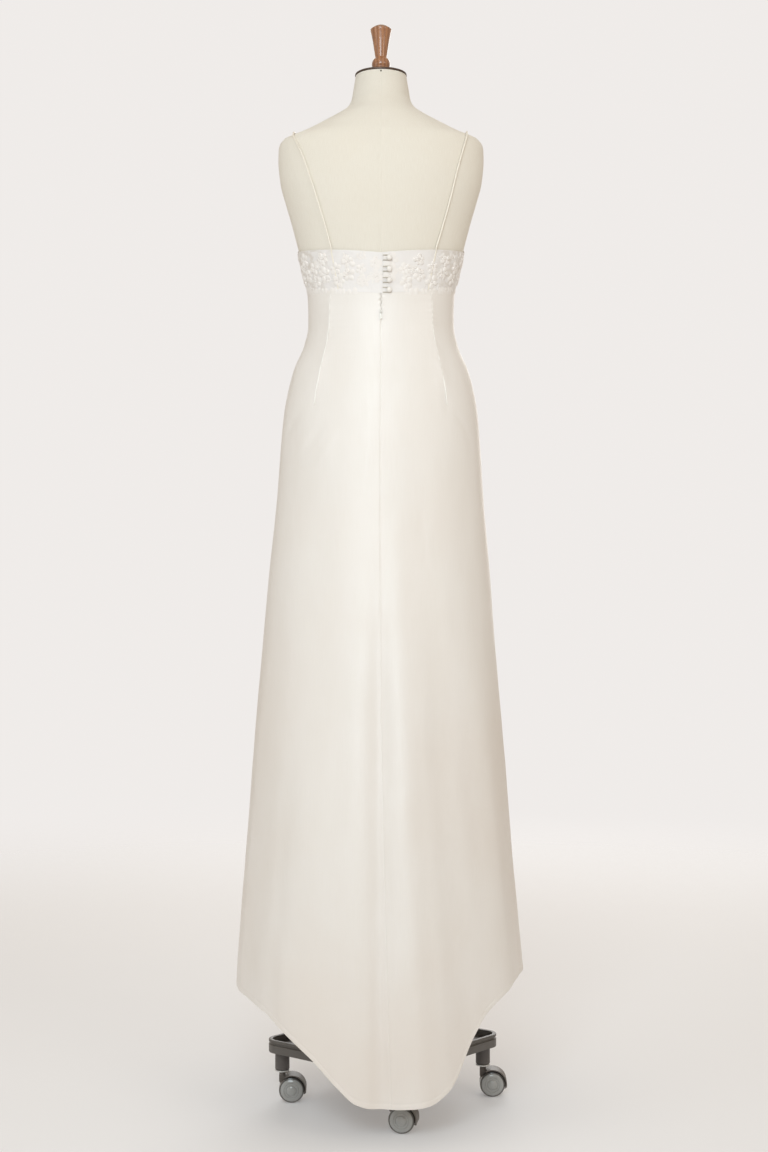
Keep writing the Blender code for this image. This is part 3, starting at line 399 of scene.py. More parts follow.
def drifted(height, turn):
    """The turn of a back panel's thread: the centre-back seam wanders to the right as it falls."""
    fallen = np.clip((SEAM_STRAIGHT - height) / SEAM_STRAIGHT, 0.0, 1.0)
    return turn - SEAM_DRIFT * fallen ** DRIFT_GROWTH * (1.0 - np.abs(turn) / SIDE_TURN)


def rumple(points, size, stretch=1.0):
    """Soft noise between -1 and 1, the same each time. stretch draws it out up and down."""
    flat = points.reshape(-1, 3)
    scaled = flat / np.array([size, size, size * stretch])
    values = [noise.noise(Vector(point)) for point in scaled]
    return np.array(values).reshape(points.shape[:-1])


# ---------------------------------------------------------------- meshes

def make_mesh(name, points, faces, material, threads=None, sharp=50.0, body=ROOT):
    """A piece from its points and faces. threads gives each point its place on the flat cloth."""
    mesh = bpy.data.meshes.new(name)
    mesh.from_pydata([tuple(p) for p in points], [], [tuple(int(i) for i in f) for f in faces])
    bm = bmesh.new()
    bm.from_mesh(mesh)
    bmesh.ops.recalc_face_normals(bm, faces=bm.faces)
    bm.to_mesh(mesh)
    bm.free()
    if threads is not None:
        flat = np.asarray(threads, float).reshape(-1, 2)
        corners = np.zeros(len(mesh.loops), int)
        mesh.loops.foreach_get("vertex_index", corners)
        layer = mesh.uv_layers.new(name="threads")
        layer.data.foreach_set("uv", flat[corners].ravel())
    mesh.shade_smooth()
    mesh.set_sharp_from_angle(angle=math.radians(sharp))
    mesh.materials.append(material)
    piece = bpy.data.objects.new(name, mesh)
    bpy.context.scene.collection.objects.link(piece)
    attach(piece, body)
    return piece


def grid_faces(rows, columns, closed=False, first=0):
    index = np.arange(rows * columns).reshape(rows, columns) + first
    if closed:
        index = np.concatenate([index, index[:, :1]], axis=1)
    quads = np.stack([index[:-1, :-1], index[:-1, 1:], index[1:, 1:], index[1:, :-1]], axis=-1)
    return quads.reshape(-1, 4)


def shell(name, outer, inner, threads, material):
    """A thin closed sheet between two grids of points."""
    rows, columns = outer.shape[:2]
    count = rows * columns
    index = np.arange(count).reshape(rows, columns)
    rim = np.concatenate([index[0], index[1:, -1], index[-1, -2::-1], index[-2:0:-1, 0]])
    ahead = np.roll(rim, -1)
    sides = np.stack([rim, rim + count, ahead + count, ahead], axis=-1)
    faces = np.concatenate([
        grid_faces(rows, columns), grid_faces(rows, columns, first=count)[:, ::-1], sides])
    points = np.concatenate([outer.reshape(-1, 3), inner.reshape(-1, 3)]) + POLE
    flat = np.concatenate([threads.reshape(-1, 2)] * 2)
    return make_mesh(name, points, faces, material, threads=flat)


def smooth_path(points, per_step):
    """More points along a path, on a Catmull-Rom curve through it."""
    points = np.asarray(points, float)
    ends = np.concatenate([2 * points[:1] - points[1:2], points, 2 * points[-1:] - points[-2:-1]])
    path = []
    for a, b, c, d in zip(ends, ends[1:], ends[2:], ends[3:]):
        for k in range(per_step):
            t = k / per_step
            path.append(0.5 * (2 * b + (c - a) * t + (2 * a - 5 * b + 4 * c - d) * t * t
                               + (3 * b - a - 3 * c + d) * t ** 3))
    path.append(points[-1])
    return np.array(path)


def tube_mesh(path, radius, sides=10, flatten=None, rolled=False):
    """Points and faces of a round cord. flatten gives the way it is pressed, and how far.

    A rolled one is a strip whose two long edges almost meet, on the side away from flatten's way.
    """
    path = np.asarray(path, float)
    ahead = np.gradient(path, axis=0)
    ahead /= np.linalg.norm(ahead, axis=1, keepdims=True)
    across = np.cross(ahead[0], [0.0, 0.0, 1.0] if abs(ahead[0][2]) < 0.9 else [1.0, 0.0, 0.0])
    points = []
    radii = np.broadcast_to(radius, (len(path),))
    angles = (np.arange(sides) + 0.5) * 2 * math.pi / sides
    for k, (centre, way) in enumerate(zip(path, ahead)):
        across = across if flatten is None else -flatten[0][k]
        across = across - way * (across @ way)
        across = across / np.linalg.norm(across)
        beside = np.cross(way, across)
        ring = np.outer(np.cos(angles), across) + np.outer(np.sin(angles), beside)
        if flatten is not None:
            pressed, share = flatten
            ring = ring - np.outer(ring @ pressed[k], pressed[k]) * share[k]
        points.append(centre + ring * radii[k])
    points = np.concatenate(points)
    faces = [tuple(face) for face in grid_faces(len(path), sides, closed=not rolled)]
    if not rolled:
        faces.append(tuple(range(sides)))
        faces.append(tuple(range(len(points) - sides, len(points))))
    return points, faces


def run_along(path):
    """How far along a path each of its points is."""
    steps = np.linalg.norm(np.diff(path, axis=0), axis=1)
    return np.concatenate([[0.0], np.cumsum(steps)])


def tube(name, path, radius, material, sides=12, flatten=None, rolled=False):
    points, faces = tube_mesh(path, radius, sides, flatten, rolled)
    turns = np.arange(sides) / sides * 2 * math.pi * np.max(radius)
    threads = np.stack(np.meshgrid(run_along(path), turns, indexing="ij"), axis=-1)
    return make_mesh(name, points + POLE, faces, material, threads=threads)


class Heap:
    """Many small shapes in one mesh."""

    def __init__(self):
        self.points, self.faces, self.count = [], [], 0

    def add(self, points, faces):
        self.points.append(np.asarray(points, float))
        self.faces += [tuple(int(i) + self.count for i in face) for face in faces]
        self.count += len(points)

    def placed(self):
        return np.concatenate(self.points)


def turned(profile, sides):
    """Points and faces of a turned shape round Z, from (radius, height) rows."""
    points, faces, rings = [], [], []
    for radius, height in profile:
        ring = []
        for k in range(sides if radius > 0 else 1):
            a = 2 * math.pi * k / sides
            ring.append(len(points))
            points.append((radius * math.cos(a), radius * math.sin(a), height))
        rings.append(ring)
    for low, high in zip(rings, rings[1:]):
        for k in range(sides):
            n = (k + 1) % sides
            face = [low[k % len(low)], low[n % len(low)], high[n % len(high)], high[k % len(high)]]
            if len(low) > 1 or len(high) > 1:
                faces.append(tuple(dict.fromkeys(face)))
    for ring in (rings[0], rings[-1]):
        if len(ring) > 1:
            faces.append(tuple(ring))
    return np.array(points), faces


def rounded(profile, per_step=6):
    """A profile with more points, on a smooth curve through its own."""
    path = smooth_path([(r, h, 0.0) for r, h in profile], per_step)
    return [(max(0.0, r), h) for r, h, _ in path]


def lathe(name, profile, sides, material, place=Matrix.Identity(4), body=ROOT, sharp=40.0):
    points, faces = turned(profile, sides)
    threads = [(math.atan2(y, x), math.hypot(x, y)) for x, y, _ in points]
    points = np.array([place @ Vector(point) for point in points])
    return make_mesh(name, points, faces, material, threads, sharp, body)


def frame_on(centre, axis):
    """A place whose Z runs along an axis."""
    turn = Vector(axis).to_track_quat("Z", "Y").to_matrix().to_4x4()
    return Matrix.Translation(Vector(centre)) @ turn


# ---------------------------------------------------------------- shader graphs

def plug(tree, socket, value):
    """Sets a socket to a value, or links another node's output to it."""
    if isinstance(value, bpy.types.NodeSocket):
        tree.links.new(value, socket)
    else:
        socket.default_value = value


class Graph:
    """Adds nodes to one tree. A value given for a socket is set on it, or linked to it."""

    def __init__(self, tree):
        self.tree = tree

    def add(self, kind, settings=None, **sockets):
        node = self.tree.nodes.new("ShaderNode" + kind)
        for name, value in (settings or {}).items():
            setattr(node, name, value)
        for name, value in sockets.items():
            key = int(name[1:]) if name[1:].isdigit() else name.replace("_", " ")
            plug(self.tree, node.inputs[key], value)
        return node

    def maths(self, operation, a, b=0.0, clamp=False):
        settings = {"operation": operation, "use_clamp": clamp}
        return self.add("Math", settings, i0=a, i1=b).outputs[0]

    def ramp(self, value, low, high, out_low=0.0, out_high=1.0):
        node = self.add("MapRange", None, Value=value, From_Min=low, From_Max=high,
                        To_Min=out_low, To_Max=out_high)
        return node.outputs["Result"]

    def blend(self, share, first, second):
        settings = {"data_type": "RGBA", "blend_type": "MIX"}
        return self.add("Mix", settings, i0=share, i6=first, i7=second).outputs[2]

    def stretched(self, place, x, y, z):
        node = self.add("CombineXYZ", None, X=x, Y=y, Z=z)
        settings = {"operation": "MULTIPLY"}
        return self.add("VectorMath", settings, i0=place, i1=node.outputs[0]).outputs[0]

    def clouds(self, place, scale, detail=2.0, roughness=0.5):
        node = self.add("TexNoise", None, Vector=place, Scale=scale, Detail=detail,
                        Roughness=roughness)
        return node.outputs["Fac"]


def group(name, sockets_in, sockets_out):
    """An empty shared group, its graph, its input sockets and its output node."""
    tree = bpy.data.node_groups.new(name, "ShaderNodeTree")
    for label, kind, start in sockets_in:
        socket = tree.interface.new_socket(label, in_out="INPUT", socket_type="NodeSocket" + kind)
        if start is not None:
            socket.default_value = start
    for label, kind in sockets_out:
        tree.interface.new_socket(label, in_out="OUTPUT", socket_type="NodeSocket" + kind)
    graph = Graph(tree)
    given = tree.nodes.new("NodeGroupInput").outputs
    result = tree.nodes.new("NodeGroupOutput")
    return tree, graph, given, result


def finish_group(tree, result, **values):
    for label, value in values.items():
        tree.links.new(value, result.inputs[label.replace("_", " ")])
    return tree


def weave_group():
    """Warp and weft over and under each other. Cloth is a place on the flat cloth, in metres."""
    tree, g, given, result = group(
        "thread weave",
        [("Cloth", "Vector", None), ("Threads per metre", "Float", 1500.0), ("Slub", "Float", 0.3)],
        [("Height", "Float"), ("Tone", "Float")])
    parts = g.add("SeparateXYZ", None, Vector=given["Cloth"])
    wander = g.clouds(given["Cloth"], 140.0)
    pitch = g.maths("MULTIPLY", given["Threads per metre"], math.pi)
    shift = g.maths("MULTIPLY", wander, given["Slub"])
    warp = g.maths("SINE", g.maths("ADD", g.maths("MULTIPLY", parts.outputs[0], pitch), shift))
    weft = g.maths("SINE", g.maths("ADD", g.maths("MULTIPLY", parts.outputs[1], pitch), shift))
    over = g.maths("MULTIPLY", warp, weft)
    height = g.maths("ABSOLUTE", over)
    slubs = g.clouds(g.stretched(given["Cloth"], 900.0, 60.0, 1.0), 1.0)
    tone = g.maths("ADD", g.maths("MULTIPLY", height, 0.5), g.maths("MULTIPLY", slubs, 0.5))
    return finish_group(tree, result, Height=height, Tone=tone)


def streak_group():
    """Fine streaks along the warp, and slow changes of tone."""
    tree, g, given, result = group(
        "warp streaks",
        [("Cloth", "Vector", None), ("Fineness", "Float", 700.0), ("Length", "Float", 0.03)],
        [("Streaks", "Float"), ("Drift", "Float")])
    along = g.maths("MULTIPLY", given["Fineness"], given["Length"])
    fine = g.clouds(g.stretched(given["Cloth"], given["Fineness"], along, 1.0), 1.0, 3.0, 0.6)
    drift = g.clouds(g.stretched(given["Cloth"], 14.0, 5.0, 1.0), 1.0, 2.0)
    return finish_group(tree, result, Streaks=fine, Drift=drift)


def grain_group():
    """Turned wood: rings drawn out along the grain, with fine pores."""
    tree, g, given, result = group(
        "wood grain", [("Place", "Vector", None), ("Figure", "Float", 60.0)],
        [("Tone", "Float"), ("Pores", "Float")])
    bent = g.stretched(given["Place"], 1.0, 1.0, 0.16)
    twist = g.clouds(g.stretched(bent, given["Figure"], given["Figure"], given["Figure"]), 1.0, 3.0)
    parts = g.add("SeparateXYZ", None, Vector=bent)
    rings = g.maths("MULTIPLY", parts.outputs[0], g.maths("MULTIPLY", given["Figure"], 14.0))
    bands = g.maths("SINE", g.maths("ADD", rings, g.maths("MULTIPLY", twist, 9.0)))
    tone = g.ramp(bands, -1.0, 1.0)
    pores = g.clouds(g.stretched(given["Place"], 2200.0, 2200.0, 120.0), 1.0, 1.0)
    return finish_group(tree, result, Tone=tone, Pores=pores)


def wear_group():
    """Handled paint and plastic: rubbed patches, fine scratches, and dust lying low down."""
    tree, g, given, result = group(
        "wear and dust", [("Place", "Vector", None), ("Dust reach", "Float", 0.06)],
        [("Rubbed", "Float"), ("Dust", "Float"), ("Grain", "Float")])
    patches = g.ramp(g.clouds(given["Place"], 38.0, 4.0, 0.65), 0.52, 0.78)
    scratches = g.clouds(g.stretched(given["Place"], 90.0, 90.0, 900.0), 1.0, 2.0)
    rubbed = g.maths("MULTIPLY", patches, g.ramp(scratches, 0.35, 0.7))
    parts = g.add("SeparateXYZ", None, Vector=given["Place"])
    low = g.maths("DIVIDE", parts.outputs[2], given["Dust reach"])
    settled = g.maths("SUBTRACT", 1.0, low, clamp=True)
    dust = g.maths("MULTIPLY", settled, g.clouds(given["Place"], 120.0, 3.0))
    grain = g.clouds(given["Place"], 2400.0, 1.0)
    return finish_group(tree, result, Rubbed=rubbed, Dust=dust, Grain=grain)


WEAVE, STREAKS, GRAIN, WEAR = weave_group(), streak_group(), grain_group(), wear_group()


class Finish:
    """A material: its graph, its Principled shader and the places that its textures use."""

    def __init__(self, name, roughness=0.5, metallic=0.0, **constants):
        self.material = bpy.data.materials.new(name)
        self.material.use_nodes = True
        self.graph = Graph(self.material.node_tree)
        self.shader = self.material.node_tree.nodes["Principled BSDF"]
        self.set("Roughness", roughness)
        self.set("Metallic", metallic)
        for label, value in constants.items():
            self.set(label.replace("_", " "), value)
        coordinates = self.graph.add("TexCoord")
        self.flat, self.place = coordinates.outputs["UV"], coordinates.outputs["Object"]

    def set(self, label, value):
        plug(self.graph.tree, self.shader.inputs[label], value)

    def shared(self, tree, **sockets):
        node = self.graph.tree.nodes.new("ShaderNodeGroup")
        node.node_tree = tree
        for name, value in sockets.items():
            plug(self.graph.tree, node.inputs[name.replace("_", " ")], value)
        return node.outputs

    def bump(self, height, distance, strength=1.0):
        node = self.graph.add("Bump", None, Height=height, Distance=distance, Strength=strength)
        self.set("Normal", node.outputs["Normal"])


# The first colour is settled dust; the second is painted shade for the lace's hollows.
DUST, PAINTED_HOLLOW_SHADE = (0.42, 0.39, 0.35, 1), (0.60, 0.54, 0.47, 1)


def satin_finish(name, light, shade, warm_patch_shade):
    """Satin with streaks along the warp, warmer in random patches, and with painted shade that grows
    down the cloth towards the hem.
    """
    finish = Finish(name, Sheen_Weight=0.05, Sheen_Roughness=0.4, Specular_IOR_Level=0.85)
    streaks = finish.shared(STREAKS, Cloth=finish.flat, Fineness=620.0, Length=0.035)
    g = finish.graph
    share = g.maths("MULTIPLY", g.maths("ADD", streaks["Streaks"], streaks["Drift"]), 0.5)
    tone = g.blend(g.ramp(share, 0.35, 0.65), light, shade)
    # Painted shade: the warm darker tone grows down the cloth towards the hem, over random warm patches.
    down = g.add("SeparateXYZ", None, Vector=finish.flat).outputs[1]
    patches = g.ramp(g.clouds(finish.place, 3.4, 3.0), 0.40, 0.66, 0.15, 0.85)
    patches_and_hem_shade = g.maths("MULTIPLY", patches, g.ramp(down, 0.10, 1.30, 0.25, 0.85))
    finish.set("Base Color", g.blend(patches_and_hem_shade, tone, warm_patch_shade))
    finish.set("Roughness", g.ramp(streaks["Streaks"], 0.3, 0.7, 0.40, 0.50))
    weave = finish.shared(WEAVE, Cloth=finish.flat, Threads_per_metre=2600.0, Slub=0.6)
    height = g.maths("ADD", g.maths("MULTIPLY", streaks["Streaks"], 0.7),
                     g.maths("MULTIPLY", weave["Height"], 0.3))
    finish.bump(height, 0.00008)
    return finish.material


def lace_finish(name, light, shade, threads, hollow=0.0, hollow_shade_from=-1.0):
    """Netted or woven ground, with painted shade darkening its hollows in random patches from a way
    across the cloth onwards.
    """
    finish = Finish(name, 0.55, Sheen_Weight=0.15, Sheen_Roughness=0.5, Specular_IOR_Level=0.8)
    weave = finish.shared(WEAVE, Cloth=finish.flat, Threads_per_metre=threads, Slub=1.2)
    g = finish.graph
    across = g.add("SeparateXYZ", None, Vector=finish.flat).outputs[0]
    reach = g.ramp(across, hollow_shade_from, hollow_shade_from + 0.05, 0.0, hollow)
    patches = g.ramp(g.clouds(finish.place, 95.0, 2.0), 0.42, 0.60)
    tone = g.blend(g.ramp(weave["Tone"], 0.2, 0.7), shade, light)
    # Painted shade: the hollow share darkens the ground towards the hollow colour, in random patches.
    finish.set("Base Color", g.blend(g.maths("MULTIPLY", reach, patches), tone, PAINTED_HOLLOW_SHADE))
    finish.bump(weave["Height"], 0.00006)
    return finish.material


def embroidery_finish():
    """Thread with fine strands across it."""
    finish = Finish("embroidery thread", 0.50, Sheen_Weight=0.1, Sheen_Roughness=0.35)
    light, shade = (0.85, 0.815, 0.785, 1), (0.79, 0.75, 0.715, 1)
    g = finish.graph
    strands = g.clouds(g.stretched(finish.place, 900.0, 900.0, 2600.0), 1.0, 2.0)
    finish.set("Base Color", g.blend(strands, light, shade))
    finish.bump(strands, 0.00025)
    return finish.material


def pearl_finish():
    finish = Finish("pearl beads", 0.22, Coat_Weight=0.5, Coat_Roughness=0.1)
    warm, grey = (0.90, 0.86, 0.82, 1), (0.80, 0.76, 0.74, 1)
    g = finish.graph
    lustre = g.clouds(finish.place, 160.0)
    finish.set("Base Color", g.blend(lustre, warm, grey))
    return finish.material


def linen_finish():
    """Plain-woven linen with slubs, darker in soft patches."""
    finish = Finish("linen cover", 0.86, Sheen_Weight=0.15, Sheen_Roughness=0.6)
    shade, light, patch = (0.74, 0.69, 0.60, 1), (0.83, 0.795, 0.72, 1), (0.77, 0.71, 0.61, 1)
    g = finish.graph
    weave = finish.shared(WEAVE, Cloth=finish.flat, Threads_per_metre=1150.0, Slub=2.2)
    drift = g.clouds(finish.place, 9.0, 3.0)
    tone = g.blend(g.ramp(weave["Tone"], 0.25, 0.75), shade, light)
    finish.set("Base Color", g.blend(g.ramp(drift, 0.3, 0.7, 0.0, 0.35), tone, patch))
    finish.bump(weave["Tone"], 0.0004, 0.7)
    return finish.material


def wood_finish():
    finish = Finish("turned wood", 0.30, Coat_Weight=0.6, Coat_Roughness=0.12)
    dark, light, pore = (0.28, 0.115, 0.048, 1), (0.40, 0.18, 0.080, 1), (0.15, 0.055, 0.025, 1)
    g = finish.graph
    grain = finish.shared(GRAIN, Place=finish.place, Figure=70.0)
    tone = g.blend(g.ramp(grain["Tone"], 0.1, 0.9), dark, light)
    finish.set("Base Color", g.blend(g.ramp(grain["Pores"], 0.55, 0.75), tone, pore))
    finish.bump(grain["Pores"], 0.00004)
    return finish.material


DISC_RADIUS, TREAD_RADIUS = 0.0186, 0.0200


def wheel_finish():
    """Glossy grey discs with a darker tread. The flat place's second value is the radius."""
    finish = Finish("wheel plastic", 0.26, Coat_Weight=0.7, Coat_Roughness=0.10)
    grey, rubbed, rubber = (0.32, 0.325, 0.315, 1), (0.40, 0.40, 0.385, 1), (0.07, 0.065, 0.06, 1)
    g = finish.graph
    radius = g.add("SeparateXYZ", None, Vector=finish.flat).outputs[1]
    wear = finish.shared(WEAR, Place=finish.place, Dust_reach=0.04)
    disc = g.blend(wear["Rubbed"], grey, rubbed)
    tread = g.ramp(radius, DISC_RADIUS, TREAD_RADIUS)
    tone = g.blend(tread, disc, rubber)
    finish.set("Base Color", g.blend(g.maths("MULTIPLY", wear["Dust"], 0.3), tone, DUST))
    finish.bump(wear["Grain"], 0.00003)
    return finish.material


def worn_finish(name, colour, rubbed, roughness, metallic=0.0, dust=0.35):
    """Paint, plastic or metal that handling has rubbed paler, with dust lying low down."""
    finish = Finish(name, roughness, metallic)
    g = finish.graph
    wear = finish.shared(WEAR, Place=finish.place, Dust_reach=0.08)
    tone = g.blend(g.maths("MULTIPLY", wear["Rubbed"], 0.5), colour, rubbed)
    settled = g.maths("MULTIPLY", wear["Dust"], dust)
    finish.set("Base Color", g.blend(settled, tone, DUST))
    finish.set("Roughness", g.ramp(wear["Rubbed"], 0.0, 1.0, roughness, roughness + 0.2))
    finish.bump(wear["Grain"], 0.00004)
    return finish.material


# Each satin's third colour is its random warm patches and the painted shade that grows towards the hem.
SATIN = satin_finish(
    "ivory satin", (0.80, 0.768, 0.733, 1), (0.775, 0.738, 0.695, 1), (0.74, 0.675, 0.615, 1))
PALE, PALE_SHADE = (0.80, 0.772, 0.758, 1), (0.77, 0.742, 0.722, 1)
# Painted shade in the lace's hollows: on the bands from 0.075 m out from the closing, on the front all
# over.
BAND_LACE = lace_finish("backed lace", PALE, PALE_SHADE, 1400.0, 0.55, 0.075)
STRAP_SATIN = satin_finish(
    "strap satin", (0.84, 0.79, 0.70, 1), (0.80, 0.745, 0.65, 1), (0.78, 0.72, 0.62, 1))
# The stitched dart folds are paler than the satin: a painted highlight along each fold.
PALE_STITCH_HIGHLIGHT = satin_finish(
    "stitching with painted highlight", (0.92, 0.90, 0.87, 1), (0.88, 0.86, 0.82, 1), (0.88, 0.86, 0.82, 1))
# The loops' cord is a darker beige, which also paints the shade round each button.
SHADED_LOOP_CORD = satin_finish(
    "loop cord with painted shade", (0.55, 0.51, 0.44, 1), (0.49, 0.45, 0.38, 1), (0.49, 0.45, 0.38, 1))
FRONT_LACE = lace_finish("lace ground", PALE, PALE_SHADE, 1400.0, 0.45, -1.0)
THREAD = embroidery_finish()
PEARL = pearl_finish()
LINEN = linen_finish()
WOOD = wood_finish()
CAP_METAL = worn_finish("brown cap", (0.09, 0.06, 0.045, 1), (0.20, 0.15, 0.12, 1), 0.38, 0.6)
PAINT = worn_finish("dark grey paint", (0.105, 0.095, 0.085, 1), (0.19, 0.175, 0.16, 1), 0.42)
SOCKET = worn_finish("barrel plastic", (0.075, 0.065, 0.06, 1), (0.13, 0.12, 0.11, 1), 0.45)
HOOD = worn_finish("hood plastic", (0.085, 0.07, 0.06, 1), (0.15, 0.13, 0.12, 1), 0.42)
WHEEL = wheel_finish()
WASHER = worn_finish("washer", (0.62, 0.61, 0.59, 1), (0.72, 0.71, 0.69, 1), 0.35, 0.2, 0.1)
ZIP_METAL = worn_finish("zip metal", (0.58, 0.55, 0.50, 1), (0.70, 0.67, 0.62, 1), 0.40, 0.35, 0.0)
TAPE = lace_finish("zip tape", (0.80, 0.76, 0.69, 1), (0.70, 0.66, 0.58, 1), 2200.0)


# ---------------------------------------------------------------- the skirt

SHELL = 0.0011
EDGE_FOLD, EDGE_REACH = 0.0009, 0.008      # a turned-up edge: how much thicker, and how far up
COLUMN_STEP, FRONT_STEP = 1.15, 1.25
NEAR_SIDE = (0.0, 0.5, 1.1, 1.9, 3.0)
NEAR_SEAM = (0.0, 0.12, 0.3, 0.55, 0.9, 1.35, 1.9, 2.6, 3.5)
NEAR_DART = (-2.2, -1.3, -0.7, -0.3, 0.0, 0.3, 0.7, 1.3, 2.2)


def spaced(first, last, step):
    count = max(1, round(abs(last - first) / step))
    return list(np.linspace(first, last, count + 1))


def back_columns(gap):
    """Turns across a back panel: close together at the seams and at the dart."""
    dart = [DART_TURN + away for away in NEAR_DART]
    seam_side = [SIDE_TURN - gap - away for away in NEAR_SIDE[::-1]]
    columns = list(NEAR_SEAM) + spaced(NEAR_SEAM[-1], dart[0], COLUMN_STEP)[1:-1] + dart
    return np.array(columns + spaced(dart[-1], seam_side[0], COLUMN_STEP)[1:-1] + seam_side)


def front_columns(gap):
    side = [SIDE_TURN + gap + away for away in NEAR_SIDE]
    other = [360.0 - turn for turn in side[::-1]]
    return np.array(side + spaced(side[-1], other[0], FRONT_STEP)[1:-1] + other)


WAIST_SHARE, HEM_SHARE = 0.075, 0.985


def row_shares():
    """How far down a panel its rows lie: closer at the waist and at the hem."""
    top = np.linspace(0.0, WAIST_SHARE, 46)
    middle = np.linspace(WAIST_SHARE, HEM_SHARE, 200)[1:]
    hem = np.linspace(HEM_SHARE, 1.0, 16)[1:]
    return np.concatenate([top, middle, hem])


# A sewn seam: how deep its stitch line sinks, how high its allowances lift the cloth beside it,
# and how far from the line they do.
Seam = namedtuple("Seam", "hollow ridge spread")

BACK_SEAM, SIDE_SEAM = Seam(0.0005, 0.00014, 0.0028), Seam(0.0005, 0.0003, 0.0030)

Wave = namedtuple("Wave", "rise rate start")

ZIP_WAVES = (Wave(0.0008, 610.0, 0.0), Wave(0.0004, 1190.0, 1.0))
ZIP_RIPPLE = Wave(0.0006, 700.0, 0.0)
WAVER_BELOW, WAVER_GROWS_OVER = 0.012, 0.02


def zip_waver(height):
    """The lips of the slit waver a little where the zip is closed."""
    share = np.clip((height - ZIP_BAR_HEIGHT + WAVER_BELOW) / WAVER_GROWS_OVER, 0.0, 1.0)
    return share * sum(wave.rise * np.sin(height * wave.rate + wave.start) for wave in ZIP_WAVES)


def seam_relief(away, seam):
    ridge = seam.ridge * hump(away - seam.spread, seam.spread * 0.7)
    return ridge - seam.hollow * hump(away, seam.spread * 0.35)


DART_STEP, DART_INSIDE, DART_OUTSIDE, DART_FADES_OVER = 0.0013, 0.014, 0.008, 0.045
DART_LINE, DART_LINE_PAST, DART_LINE_WIDTH = 0.0006, 0.0012, 0.0010
DART_PUCKER, PUCKER_REACH, PUCKER_RATE, PUCKER_WANDER = 0.00030, 0.009, 520.0, 61.0
DART_DIMPLE, DIMPLE_HEIGHT, DIMPLE_WIDTH = 0.0007, 0.018, 0.007


def dart_relief(height, turn, radius):
    """The stitched dart: a step down to its outer side, with small puckers across it."""
    past = np.radians(np.abs(turn) - DART_TURN) * radius
    fading = ease((height - DART_END) / DART_FADES_OVER)
    fall = np.where(past < 0, np.exp(past / DART_INSIDE), np.exp(-past / DART_OUTSIDE))
    step = DART_STEP * fading * fall
    line = -DART_LINE * fading * hump(past - DART_LINE_PAST, DART_LINE_WIDTH)
    ripple = np.sin(height * PUCKER_RATE + 3.0 * np.sin(height * PUCKER_WANDER + np.sign(turn)))
    puckers = DART_PUCKER * fading * ripple * np.exp(-np.abs(past) / PUCKER_REACH)
    end = DART_DIMPLE * hump(height - DART_END, DIMPLE_HEIGHT) * hump(past, DIMPLE_WIDTH)
    return step + line + puckers - end


HEM_ROLL, ROLL_MIDDLE, ROLL_HALF = 0.0004, 0.0035, 0.0045
HEM_STITCH, STITCH_HEIGHT, STITCH_WIDTH = 0.0003, 0.0090, 0.0014


def hem_relief(from_hem):
    """The turned-up hem is thicker, with its stitches sunk above it."""
    roll = HEM_ROLL * np.clip(1.0 - np.abs(from_hem - ROLL_MIDDLE) / ROLL_HALF, 0.0, 1.0) ** 0.5
    return roll - HEM_STITCH * hump(from_hem - STITCH_HEIGHT, STITCH_WIDTH)


# Soft unevenness of the cloth. Held is the share that is left where it lies on the form.
Rumple = namedtuple("Rumple", "rise size stretch held")

RUMPLES = (
    Rumple(0.0020, 0.080, 3.0, 0.0),
    Rumple(0.0005, 0.034, 2.4, 0.0),
    Rumple(0.00022, 0.017, 2.2, 0.3),
)
RELEASE_START, RELEASE_LENGTH = 0.02, 0.10


def cloth_relief(height, turn, point):
    relief = crease_rise(height, turn)
    free = ease((waist_seam(turn) - RELEASE_START - height) / RELEASE_LENGTH)
    for soft in RUMPLES:
        share = soft.held + (1.0 - soft.held) * free
        relief = relief + share * soft.rise * rumple(point, soft.size, soft.stretch)
    return relief


def across_and_down(points):
    """The place of each point on the flat cloth: metres from the first column and from the top."""
    across = np.linalg.norm(np.diff(points, axis=1), axis=2)
    down = np.linalg.norm(np.diff(points, axis=0), axis=2)
    across = np.concatenate([np.zeros((len(points), 1)), np.cumsum(across, axis=1)], axis=1)
    down = np.concatenate([np.zeros((1, points.shape[1])), np.cumsum(down, axis=0)], axis=0)
    return np.stack([across, down], axis=-1)


def cloth_panel(name, columns, top, bottom, surface, relief, folded, material, shares):
    """A panel of thin cloth between two edges, with its relief, as a closed shell.

    folded is the share of a hem's extra thickness that its lower edge has.
    """
    turn = columns[None, :] + np.zeros((len(shares), 1))
    height = top(turn) + (bottom(turn) - top(turn)) * shares[:, None]
    base = surface(height, turn)
    normal = way_out(surface, height, turn)
    lift = relief(height, turn, base)
    outer = base + normal * lift[..., None]
    from_edge = np.linalg.norm(outer - outer[-1:], axis=-1)
    near = np.clip(1.0 - from_edge / EDGE_REACH, 0.0, 1.0)
    thickness = SHELL + EDGE_FOLD * near ** 0.5 * folded
    inner = outer - normal * thickness[..., None]
    piece = shell(name, outer, inner, across_and_down(outer), material)
    return piece, outer


PULL, PULL_RATE, PULL_WANDER = 0.25, 95.0, 23.0
ZIP_HOLDS_BELOW, ZIP_HOLDS_OVER = 0.006, 0.012
ZIP_BESIDE, ZIP_SPREAD = 0.002, 0.0025


